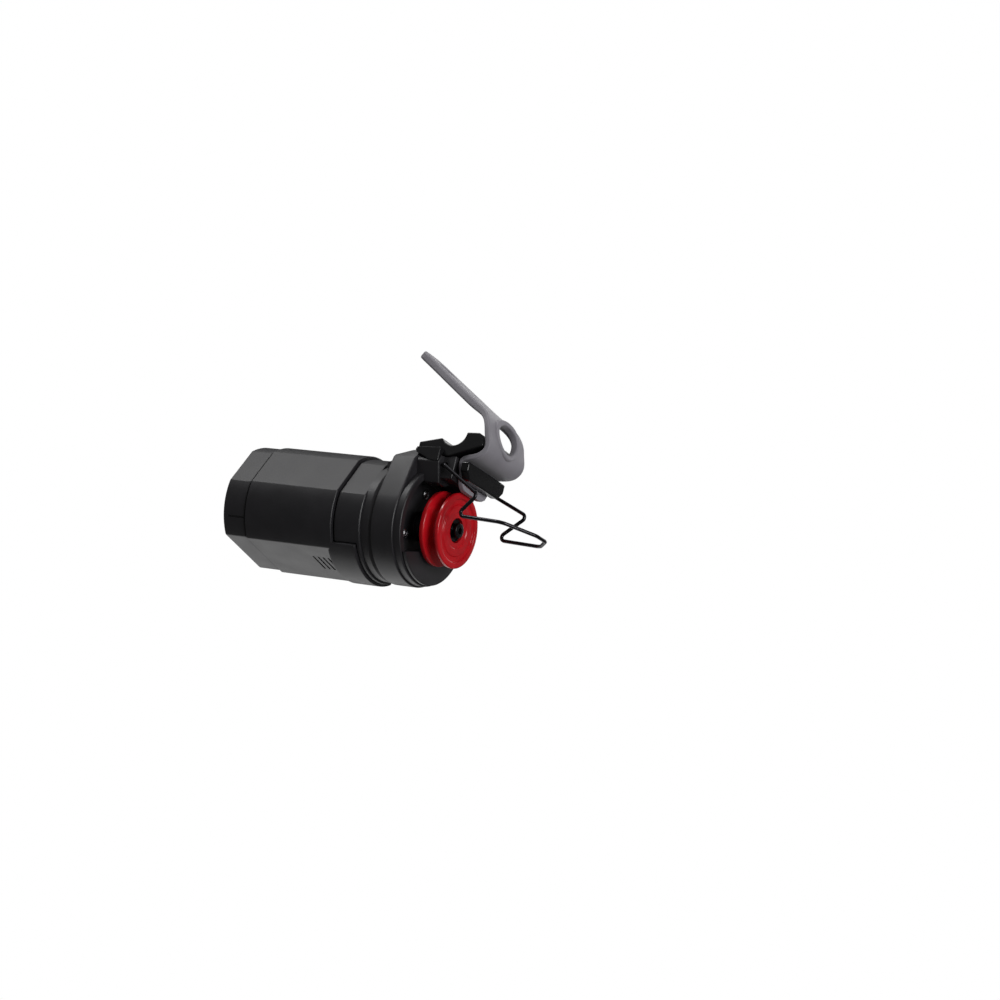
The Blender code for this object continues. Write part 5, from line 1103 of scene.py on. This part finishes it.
class COUNTER_OT_wheel(bpy.types.Operator):
    """Model the measuring wheel"""
    bl_idname = "counter.wheel"
    bl_label = "Measuring Wheel"

    def execute(self, context):
        lip = RIM_ROUNDING
        middle = (WHEEL_REAR + REAR_RIM + WHEEL_FRONT - FRONT_RIM) / 2
        channel, land, boss = (WHEEL_FRONT - depth for depth in (CHANNEL_DEPTH, LAND_DEPTH, BOSS_DEPTH))
        wheel = turned("wheel", [
            (WHEEL_REAR, BEARING_SEAT, 0), (WHEEL_REAR, WHEEL_RADIUS, lip),
            (WHEEL_REAR + REAR_RIM, WHEEL_RADIUS, lip), (middle - GROOVE_FLOOR_HALF, GROOVE_FLOOR, lip),
            (middle + GROOVE_FLOOR_HALF, GROOVE_FLOOR, lip), (WHEEL_FRONT - FRONT_RIM, WHEEL_RADIUS, lip),
            (WHEEL_FRONT, WHEEL_RADIUS, lip), (WHEEL_FRONT, CHANNEL_OUTER, lip / 2),
            (channel, CHANNEL_OUTER - CHANNEL_DEPTH / 2, lip / 2),
            (channel, CHANNEL_INNER + CHANNEL_DEPTH / 2, lip / 2), (land, CHANNEL_INNER, lip / 4),
            (land, WHEEL_BOSS, lip / 4), (boss, WHEEL_BOSS - BOSS_DEPTH / 2, lip / 4),
            (boss, BEARING_SEAT, 0), (WEB_FRONT, BEARING_SEAT, 0), (WEB_FRONT, WEB_RADIUS, 0),
            (WEB_REAR, WEB_RADIUS, 0), (WEB_REAR, BEARING_SEAT, 0)], ring=True)
        for height in (MAGNET_CIRCLE, -MAGNET_CIRCLE):
            pocket = drum("magnet_pocket", WHEEL_REAR - OVERRUN, WHEEL_REAR + 2 * GAP + MAGNET_THICKNESS,
                          MAGNET_RADIUS + GAP, SMALL_STEPS, barrel_point(0, 0, height))
            boolean(wheel, pocket, 'DIFFERENCE')
        finish(wheel, "acetal_turned", "wheel", ["measuring_wheel"])
        return {'FINISHED'}


# The axle screw and the bearings
AXLE_RADIUS = 1.2 * MM
AXLE_HEAD_RADIUS = 2.0 * MM
AXLE_HEAD_HEIGHT = 1.1 * MM
AXLE_SOCKET_RADIUS = 0.95 * MM
AXLE_SOCKET_DEPTH = 0.7 * MM
RACE_WIDTH = 0.4 * MM
SHIELD_DEPTH = 0.15 * MM
METAL_EDGE = 0.12 * MM


class COUNTER_OT_axle(bpy.types.Operator):
    """Model the axle screw, its bush and bearings, and the cover screws"""
    bl_idname = "counter.axle"
    bl_label = "Axle and Screws"

    def execute(self, context):
        bore = AXLE_RADIUS + GAP
        rear = COVER_REAR + GAP
        neck = BUSH_FRONT - BUSH_FLANGE
        bush = turned("bush", [
            (rear, bore, 0), (rear, BUSH_RADIUS, 0), (neck, BUSH_RADIUS, 0), (neck, BUSH_FLANGE_RADIUS, 0),
            (BUSH_FRONT, BUSH_FLANGE_RADIUS, METAL_EDGE), (BUSH_FRONT, bore, 0)], SMALL_STEPS * 2, True)
        finish(bush, "brass_turned", "root", ["axle_bush"])
        first = self.bearing("rear_bearing_races", WHEEL_REAR + GAP)
        second = copied(first, Vector((WEB_FRONT - WHEEL_REAR, 0, 0)), "front_bearing_races")
        for races, node in ((first, "rear_bearing"), (second, "front_bearing")):
            finish(races, "steel_blackened", "wheel", [node])
        base = WEB_FRONT + 2 * GAP + BEARING_WIDTH
        front = base + AXLE_HEAD_HEIGHT
        screw = turned("axle", [
            (rear, 0, 0), (rear, AXLE_RADIUS, METAL_EDGE), (base, AXLE_RADIUS, 0),
            (base, AXLE_HEAD_RADIUS, METAL_EDGE), (front, AXLE_HEAD_RADIUS, 2 * METAL_EDGE),
            (front, 0, 0)], SMALL_STEPS * 2)
        socket = drum("key_socket", front - AXLE_SOCKET_DEPTH, front + OVERRUN, AXLE_SOCKET_RADIUS, 6)
        boolean(screw, socket, 'DIFFERENCE')
        finish(screw, "steel_blackened", "root", ["axle_screw"])
        places = [barrel_point(0, side, height) for side, height in screw_points()]
        screw = self.cover_screw(places[0])
        screws = [screw, *(copied(screw, place - places[0]) for place in places[1:])]
        for number, screw in enumerate(screws, 1):
            finish(screw, "steel_plated", "root", [f"cover_screw_{number}"])
        return {'FINISHED'}

    def bearing(self, name, rear):
        """Two races with the shield set back between them."""
        front = rear + BEARING_WIDTH
        bore = AXLE_RADIUS + GAP
        inner, outer = bore + RACE_WIDTH, BEARING_RADIUS - RACE_WIDTH
        edge = METAL_EDGE / 2
        return turned(name, [
            (rear, bore, edge), (rear, inner, edge), (rear + SHIELD_DEPTH, inner, 0),
            (rear + SHIELD_DEPTH, outer, 0), (rear, outer, edge), (rear, BEARING_RADIUS, METAL_EDGE),
            (front, BEARING_RADIUS, METAL_EDGE), (front, outer, edge), (front - SHIELD_DEPTH, outer, 0),
            (front - SHIELD_DEPTH, inner, 0), (front, inner, edge), (front, bore, edge)],
            SMALL_STEPS * 2, True)

    def cover_screw(self, centre):
        """A small domed screw with a cross in its head."""
        base = COVER_FRONT + GAP
        front = base + SCREW_HEAD_HEIGHT
        tip = POCKET_BACK - SCREW_DEPTH
        screw = turned("cover_screw", [
            (tip, 0, 0), (tip, SCREW_SHANK, METAL_EDGE), (base, SCREW_SHANK, 0),
            (base, SCREW_HEAD, METAL_EDGE), (front - SCREW_HEAD_HEIGHT / 2, SCREW_HEAD, METAL_EDGE),
            (front, SCREW_HEAD / 2, METAL_EDGE), (front, 0, 0)], SMALL_STEPS, centre=centre)
        for across, up in ((CROSS_LENGTH, CROSS_WIDTH), (CROSS_WIDTH, CROSS_LENGTH)):
            cross = block("cross", (front - CROSS_DEPTH, -across / 2, -up / 2),
                          (front + OVERRUN, across / 2, up / 2))
            boolean(screw, placed(cross, Matrix.Translation(centre)), 'DIFFERENCE')
        return screw


class COUNTER_OT_pad(bpy.types.Operator):
    """Model the rubber rod seat"""
    bl_idname = "counter.pad"
    bl_label = "Rod Seat"

    def execute(self, context):
        y = PAD_LOW.y
        top = PAD_HIGH.x - PAD_FRONT_LEAN
        outline = [Vector((x, y, z)) for x, z in pad_underside(0.0)]
        outline += [Vector((top, y, PAD_HIGH.z - PAD_LIP_EDGE)),
                    Vector((top - PAD_LIP_EDGE, y, PAD_HIGH.z))]
        end = math.asin(SEAT_REAR_DROP / SEAT_RADIUS)
        for step in range(SEAT_STEPS + 1):
            angle = (math.pi - end) * step / SEAT_STEPS
            outline.append(Vector((SEAT_RADIUS * math.cos(angle), y, -SEAT_RADIUS * math.sin(angle))))
        outline.append(Vector((PAD_LOW.x, y, -PAD_REAR_DROP)))
        pad = prism("rod_seat", outline, (0, PAD_HIGH.y - PAD_LOW.y, 0))
        soften(pad, PAD_EDGE, 4)
        for side in (-1, 1):
            boolean(pad, self.lap(side), 'UNION')
        finish(pad, "epdm_moulded", "root", ["saddle_pad"])
        return {'FINISHED'}

    def lap(self, side):
        """The lap that hangs from one end of the seat over the arm's shoulder, cut to lie on it."""
        inner, outer = ARM_TOP_HALF_WIDTH - SINK, BLOCK_HALF_WIDTH + LAP_PROUD
        lap = prism("seat_lap", [Vector((x, side * inner, z)) for x, z in LAP_OUTLINE],
                    (0, side * (outer - inner), 0))
        soften(lap, LAP_EDGE)
        top = ARM_TOP_HALF_WIDTH + LAP_GAP
        wider, drop = BLOCK_HALF_WIDTH - ARM_TOP_HALF_WIDTH, ARM_TOP - ARM_SHOULDER
        rear = LAP_OUTLINE[0][0] - OVERRUN - FACE
        room = [barrel_point(rear, side * (top + wider * across), ARM_TOP - drop * down)
                for across, down in LAP_ROOM]
        shoulder = prism("shoulder", room, (NOSE_REACH - rear, 0, 0))
        return boolean(lap, shoulder, 'DIFFERENCE')


class COUNTER_OT_lug(bpy.types.Operator):
    """Model the lug that pins the strap to the arm"""
    bl_idname = "counter.lug"
    bl_label = "Strap Lug"

    def execute(self, context):
        rear = LUG_HIGH.x - LUG_THICKNESS
        end, low, high = LUG_HIGH.y, LUG_LOW.z, LUG_HIGH.z
        bar = prism("lug", [(rear, y, z) for y, z in (
            (-end, high), (-end, low + LUG_CORNER), (LUG_CORNER - end, low), (end - LUG_CORNER, low),
            (end, low + LUG_CORNER), (end, high))], (LUG_THICKNESS, 0, 0))
        soften(bar, LUG_EDGE, 4)
        middle = (low + high) / 2
        neck = block("lug_neck", (LUG_LOW.x, -NECK_HALF_WIDTH, middle - NECK_HEIGHT / 2),
                     (rear + SINK, NECK_HALF_WIDTH, middle + NECK_HEIGHT / 2))
        boolean(bar, neck, 'UNION')
        finish(bar, "abs_polished", "root", ["strap_lug"])
        return {'FINISHED'}


# The strap, from the rod's axis
STRAP_THICKNESS = 1.6 * MM
TAB_THICKNESS = 2.2 * MM
TAIL_STEP = 3.0 * MM
BELLY_STEP = 0.25 * MM
CREST_STEP = 3.6 * MM
TAB_STEP = 5.0 * MM
TAIL_DROP = 2.1 * MM
TAIL_ROUNDING = 3.4 * MM
STRAP_CLEARANCE = 0.4 * MM
BELLY_DROP = 2.0 * MM
BELLY_ANGLE = math.radians(40)
STRAP_CREST = 9.9 * MM
TAB_REACH = 20.3 * MM
TAB_RISE = 23.0 * MM
TAB_ROUNDING = 3.0 * MM
STRAP_ROUNDNESS = 0.55    # how much of half its thickness the strap's edges are rounded by
EASE_SHARES = ((0.33, 0.33), (0.3, 0.42), (0.45, 0.4), (0.42, 0.45), (0.33, 0.33))
EYELET_LENGTH = 10.0 * MM
EYELET_WIDTH = 7.8 * MM
EYELET_TAPER = 0.22
EYELET_LIP = 1.5 * MM
EYELET_PROUD = 0.5 * MM
EYELET_RISE = 1.2 * MM
HOLE_ROUNDING = 0.4 * MM
CATCH_HOLE = (5.0 * MM, 6.4 * MM)
CATCH_HOLE_FROM_TIP = 8.0 * MM
STRAP_STEPS = 24
END_STEPS = 8
CORNER_STEPS = 5
HOLE_STEPS = 5
OVAL_STEPS = 96


def pad_front_plane():
    """The rod seat's front face: its lower edge, and the way up along it, which leans back."""
    up = Vector((-PAD_FRONT_LEAN, 0, PAD_HIGH.z + PAD_FRONT_DROP)).normalized()
    return Vector((PAD_HIGH.x, 0, -PAD_FRONT_DROP)), up


def flap_place(distance):
    """The point beside the eyelet's middle at a distance ahead of the seat's front face."""
    edge, up = pad_front_plane()
    start = edge + Vector((up.z, 0, -up.x)) * distance
    return start + up * (EYELET_RISE - start.z) / up.z


def strap_knots():
    """The strap's knots from tail to tab: place, heading, half width and thickness."""
    behind_lug = LUG_HIGH.x - LUG_THICKNESS - GAP - STRAP_THICKNESS / 2
    half = LUG_HIGH.y
    up = Vector((0, 0, 1))
    belly = Vector((math.cos(BELLY_ANGLE), 0, math.sin(BELLY_ANGLE)))
    tab_end = Vector((-TAB_REACH, 0, TAB_RISE))
    tab = Vector((-TAB_REACH, 0, TAB_RISE - STRAP_CREST)).normalized()
    return [
        (Vector((behind_lug, 0, LUG_LOW.z - TAIL_DROP + TAIL_ROUNDING)), up, half - TAIL_STEP,
         STRAP_THICKNESS),
        (Vector((behind_lug, 0, LUG_HIGH.z)), up, half - TAIL_STEP / 2, STRAP_THICKNESS),
        (Vector((PAD_HIGH.x, 0, -PAD_FRONT_DROP - BELLY_DROP)), belly, half - BELLY_STEP, STRAP_THICKNESS),
        (flap_place(STRAP_CLEARANCE + STRAP_THICKNESS / 2), pad_front_plane()[1], half, STRAP_THICKNESS),
        (Vector((0, 0, STRAP_CREST)), tab, half - CREST_STEP, TAB_THICKNESS),
        (tab_end - tab * TAB_ROUNDING, tab, half - TAB_STEP, TAB_THICKNESS)]


def rounded_end(place, heading, half_width, thickness, rounding):
    """Sections that round the strap's end off, from its full width outwards."""
    sections = []
    for step in range(1, END_STEPS + 1):
        angle = math.pi / 2 * step / END_STEPS
        sections.append((place + heading * rounding * math.sin(angle), heading,
                         half_width - rounding * (1 - math.cos(angle)), thickness))
    return sections


def strap_sections():
    """Every section of the strap from tail to tab, eased from knot to knot."""
    knots = strap_knots()
    place, heading, half_width, thickness = knots[0]
    sections = [(spot, heading, width, thick) for spot, _, width, thick in reversed(
        rounded_end(place, -heading, half_width, thickness, TAIL_ROUNDING))]
    sections.append(knots[0])
    for (first, second), (ease_out, ease_in) in zip(zip(knots, knots[1:]), EASE_SHARES):
        span = (second[0] - first[0]).length
        line = interpolate_bezier(first[0], first[0] + first[1] * span * ease_out,
                                  second[0] - second[1] * span * ease_in, second[0], STRAP_STEPS + 1)
        for step in range(1, STRAP_STEPS):
            share = step / STRAP_STEPS
            blend = share * share * (3 - 2 * share)
            sections.append((line[step], (line[step + 1] - line[step - 1]).normalized(),
                             first[2] + (second[2] - first[2]) * blend,
                             first[3] + (second[3] - first[3]) * blend))
        sections.append(second)
    return sections + rounded_end(*knots[-1], TAB_ROUNDING)


def strap_ring(place, heading, half_width, thickness):
    """One section of the strap: a flat bar with well rounded edges."""
    outward = Vector((heading.z, 0, -heading.x))
    half = thickness / 2
    rounding = half * STRAP_ROUNDNESS
    ring = []
    for out_sign, side_sign, start in ((1, 1, 0), (-1, 1, 1), (-1, -1, 2), (1, -1, 3)):
        for step in range(CORNER_STEPS + 1):
            angle = math.pi / 2 * (start + step / CORNER_STEPS)
            out = out_sign * (half - rounding) + rounding * math.cos(angle)
            side = side_sign * (half_width - rounding) + rounding * math.sin(angle)
            ring.append(place + outward * out + Vector((0, side, 0)))
    return ring


def lofted(name, rings):
    """A closed skin over a row of point rings."""
    bm = bmesh.new()
    rows = [[bm.verts.new(point) for point in ring] for ring in rings]
    for first, second in zip(rows, rows[1:]):
        for index in range(len(first)):
            after = (index + 1) % len(first)
            bm.faces.new((first[index], first[after], second[after], second[index]))
    bm.faces.new(list(reversed(rows[0])))
    bm.faces.new(rows[-1])
    bmesh.ops.recalc_face_normals(bm, faces=bm.faces)
    mesh = bpy.data.meshes.new(name)
    bm.to_mesh(mesh)
    bm.free()
    piece = bpy.data.objects.new(name, mesh)
    bpy.context.scene.collection.objects.link(piece)
    return piece


def oval(name, length, width, levels, place, tilt, taper=0.0):
    """An oval bar along X, its length across the strap, tilted about Y.

    Its levels are (ahead, spread); a taper makes it wider above its middle than below.
    """
    rings = []
    for ahead, spread in levels:
        ring = []
        for step in range(OVAL_STEPS):
            angle = math.tau * step / OVAL_STEPS
            across = (length / 2 + spread) * math.cos(angle) * (1 + taper * math.sin(angle))
            ring.append(Vector((ahead, across, (width / 2 + spread) * math.sin(angle))))
        rings.append(ring)
    return placed(lofted(name, rings), Matrix.Translation(place) @ Matrix.Rotation(tilt, 4, 'Y'))


def rounding_levels(face, rounding, outward):
    """Levels of an oval's edge that is rounded towards a face; a hole's edge spreads outwards."""
    levels = []
    for step in range(HOLE_STEPS + 1):
        angle = math.pi / 2 * step / HOLE_STEPS
        levels.append((face - rounding * (1 - math.sin(angle)), outward * rounding * (1 - math.cos(angle))))
    return levels


def hole_levels(rear, front, rounding):
    """Levels of a hole with both its edges rounded."""
    inner = [(-ahead, spread) for ahead, spread in rounding_levels(-rear, rounding, 1)]
    outer = rounding_levels(front, rounding, 1)
    return [(rear - OVERRUN, rounding), *reversed(inner), *outer, (front + OVERRUN, rounding)]


class COUNTER_OT_strap(bpy.types.Operator):
    """Model the moulded silicone strap"""
    bl_idname = "counter.strap"
    bl_label = "Strap"

    def execute(self, context):
        strap = lofted("rod_strap", [strap_ring(*section) for section in strap_sections()])
        up = pad_front_plane()[1]
        tilt = math.atan2(up.x, up.z)
        place = flap_place(STRAP_CLEARANCE + STRAP_THICKNESS / 2)
        half = STRAP_THICKNESS / 2
        face = half + EYELET_PROUD
        lip = oval("eyelet_lip", EYELET_LENGTH + 2 * EYELET_LIP, EYELET_WIDTH + 2 * EYELET_LIP,
                   [(0.0, 0.0), *rounding_levels(face, EYELET_PROUD, -1)], place, tilt, EYELET_TAPER)
        boolean(strap, lip, 'UNION')
        hole = oval("eyelet_hole", EYELET_LENGTH, EYELET_WIDTH, hole_levels(-half, face, HOLE_ROUNDING),
                    place, tilt, EYELET_TAPER)
        boolean(strap, hole, 'DIFFERENCE')
        spot, heading, _, _ = strap_knots()[-1]
        half = TAB_THICKNESS / 2
        boolean(strap, oval("catch_hole", *CATCH_HOLE, hole_levels(-half, half, HOLE_ROUNDING),
                            spot - heading * (CATCH_HOLE_FROM_TIP - TAB_ROUNDING),
                            math.atan2(heading.x, heading.z)), 'DIFFERENCE')
        height = (LUG_LOW.z + LUG_HIGH.z) / 2
        wide, high = NECK_HALF_WIDTH + GAP, NECK_HEIGHT / 2 + GAP
        slot = block("neck_slot", (FACE + NOSE_REACH, -wide, height - high),
                     (LUG_HIGH.x - LUG_THICKNESS, wide, height + high))
        boolean(strap, slot, 'DIFFERENCE')
        finish(strap, "silicone_satin", "root", ["strap"])
        return {'FINISHED'}


# The bail's bends: ahead of the face, half width, above the barrel's axis
BAIL_FOLD = ((13.2 * MM, BAIL_HALF_WIDTH, 1.4 * MM), (27.0 * MM, BAIL_HALF_WIDTH, 0.9 * MM),
             (33.0 * MM, 2.5 * MM, 0.4 * MM))
NEAR_CORNER = (18.0 * MM, BAIL_HALF_WIDTH, 7.5 * MM)
FAR_CORNER = (21.2 * MM, BAIL_HALF_WIDTH, 8.6 * MM)
BEND_RADII = (1.1 * MM, 1.1 * MM, 1.1 * MM, 3.0 * MM, 3.0 * MM)
BEND_STEPS = 12
WIRE_STEPS = 6


class COUNTER_OT_bail(bpy.types.Operator):
    """Model the bent wire bail"""
    bl_idname = "counter.bail"
    bl_label = "Wire Bail"

    def execute(self, context):
        ahead, height = BAIL_PIVOT
        start = [(ahead, BAIL_HALF_WIDTH - BAIL_STUB, height), (ahead, BAIL_HALF_WIDTH, height)]
        corners = [barrel_point(a, -y, z) for a, y, z in (*start, NEAR_CORNER, *BAIL_FOLD)]
        corners += [barrel_point(a, y, z) for a, y, z in reversed((*start, FAR_CORNER, *BAIL_FOLD))]
        points = [corners[0]]
        for before, corner, after, bend in zip(corners, corners[1:], corners[2:],
                                               BEND_RADII + BEND_RADII[::-1]):
            points += corner_arc(before, corner, after, bend, BEND_STEPS)
        points.append(corners[-1])
        curve = bpy.data.curves.new("bail", 'CURVE')
        curve.dimensions = '3D'
        curve.bevel_depth = context.scene.counter_sizes.wire_radius
        curve.bevel_resolution = WIRE_STEPS
        curve.use_fill_caps = True
        spline = curve.splines.new('POLY')
        spline.points.add(len(points) - 1)
        for target, point in zip(spline.points, points):
            target.co = (*point, 1.0)
        bail = bpy.data.objects.new("bail", curve)
        context.scene.collection.objects.link(bail)
        select_only(bail)
        bpy.ops.object.convert(target='MESH')
        finish(bpy.context.object, "wire_blackened", "bail", ["bail_wire"])
        return {'FINISHED'}


# The lamps: name, place, width, and power in watts; all of them point at the target. The flats take their
# tone from the cards above and below, and the round side between them stays dark.
TARGET = Vector((-0.015, 0.0, -0.02))
LAMPS = (
    ("card_above", Vector((-0.55, -0.2, 1.0)), 1.3, 6.0),
    ("card_below", Vector((-0.7, 0.7, -0.85)), 1.3, 5.4),
    ("card_back", Vector((-0.1, 1.1, 0.5)), 0.8, 3.0),
    ("card_right", Vector((1.0, -0.45, 0.1)), 0.5, 6.5),
    ("key", Vector((-0.35, -0.33, 0.47)), 0.09, 0.6),
)
FILL = 0.1          # the white world's strength on the counter; the camera sees it at full strength
FLOOR_SIZE = 3.0
FADE_START = 0.1    # where the floor's paper starts to fade out to white, and where it has
FADE_END = 0.5


class COUNTER_OT_stage(bpy.types.Operator):
    """Set the floor, the lamps, the world and the camera"""
    bl_idname = "counter.stage"
    bl_label = "Stage"

    def execute(self, context):
        colours = context.scene.counter_colours
        bpy.ops.object.select_all(action='DESELECT')
        bpy.ops.mesh.primitive_plane_add(size=FLOOR_SIZE, location=(0, 0, CAD_BOX[0][2]))
        floor = bpy.context.object
        floor.name = "floor"
        floor.visible_diffuse = False
        floor.visible_glossy = False
        floor.visible_transmission = False
        floor.visible_shadow = False
        material, shader, place = new_material("floor_paper", colours.floor, Roughness=0.9)
        away = add_node(material, 'ShaderNodeVectorMath', {0: (place, "Object")}, operation='LENGTH')
        fade = add_node(material, 'ShaderNodeMapRange', {
            "Value": (away, "Value"), "From Min": FADE_START, "From Max": FADE_END},
            interpolation_type='SMOOTHSTEP')
        white = add_node(material, 'ShaderNodeEmission')
        paper = add_node(material, 'ShaderNodeMixShader', {"Fac": (fade, "Result"),
                                                           1: (shader, "BSDF"), 2: (white, "Emission")})
        geometry = add_node(material, 'ShaderNodeNewGeometry')
        clear = add_node(material, 'ShaderNodeBsdfTransparent')
        mix = add_node(material, 'ShaderNodeMixShader', {"Fac": (geometry, "Backfacing"),
                                                         1: (paper, "Shader"), 2: (clear, "BSDF")})
        link(material, mix, "Shader", material.node_tree.nodes["Material Output"], "Surface")
        floor.data.materials.append(material)

        world = bpy.data.worlds.new("studio")
        context.scene.world = world
        world.use_nodes = True
        background = world.node_tree.nodes["Background"]
        background.inputs["Color"].default_value = (1.0, 1.0, 1.0, 1.0)
        rays = add_node(world, 'ShaderNodeLightPath')
        strength = add_node(world, 'ShaderNodeMapRange', {
            "Value": (rays, "Is Camera Ray"), "To Min": FILL, "To Max": 1.0})
        link(world, strength, "Result", background, "Strength")

        for name, spot, width, power in LAMPS:
            bpy.ops.object.light_add(type='AREA', location=spot)
            lamp = bpy.context.object
            lamp.name = name
            lamp.data.size = width
            lamp.data.energy = power
            lamp.visible_camera = False
            lamp.rotation_euler = (TARGET - spot).to_track_quat('-Z', 'Y').to_euler()

        bpy.ops.object.camera_add(location=CAMERA_PLACE, rotation=CAMERA_TURN)
        camera = bpy.context.object
        camera.data.lens = CAMERA_LENS
        camera.data.sensor_width = SENSOR_WIDTH
        camera.data.clip_start = CAMERA_NEAR
        context.scene.camera = camera
        context.scene.view_settings.view_transform = 'Standard'
        return {'FINISHED'}


class COUNTER_PT_panel(bpy.types.Panel):
    """The counter's operators, in the order in which they run"""
    bl_label = "Line Counter"
    bl_idname = "COUNTER_PT_panel"
    bl_space_type = 'VIEW_3D'
    bl_region_type = 'UI'
    bl_category = "Line Counter"

    def draw(self, context):
        """One button for each piece or group, and one for the stage."""
        for step in STEPS:
            self.layout.operator(step.bl_idname)


STEPS = (COUNTER_OT_finishes, COUNTER_OT_sleeve, COUNTER_OT_tube, COUNTER_OT_cap, COUNTER_OT_display,
         COUNTER_OT_head, COUNTER_OT_cover, COUNTER_OT_wheel, COUNTER_OT_axle, COUNTER_OT_pad,
         COUNTER_OT_lug, COUNTER_OT_strap, COUNTER_OT_bail, COUNTER_OT_stage)
CLASSES = (CounterSizes, CounterColours, *STEPS, COUNTER_PT_panel)


def register():
    """Register the classes and hang the sizes and colours on the scene."""
    for item in CLASSES:
        bpy.utils.register_class(item)
    bpy.types.Scene.counter_sizes = PointerProperty(type=CounterSizes)
    bpy.types.Scene.counter_colours = PointerProperty(type=CounterColours)


def unregister():
    """Take the sizes, the colours and the classes away again."""
    del bpy.types.Scene.counter_colours
    del bpy.types.Scene.counter_sizes
    for item in reversed(CLASSES):
        bpy.utils.unregister_class(item)


def main():
    """Make every piece and the stage."""
    register()
    for step in STEPS:
        group, name = step.bl_idname.split(".")
        getattr(getattr(bpy.ops, group), name)()


if __name__ == "__main__":
    main()
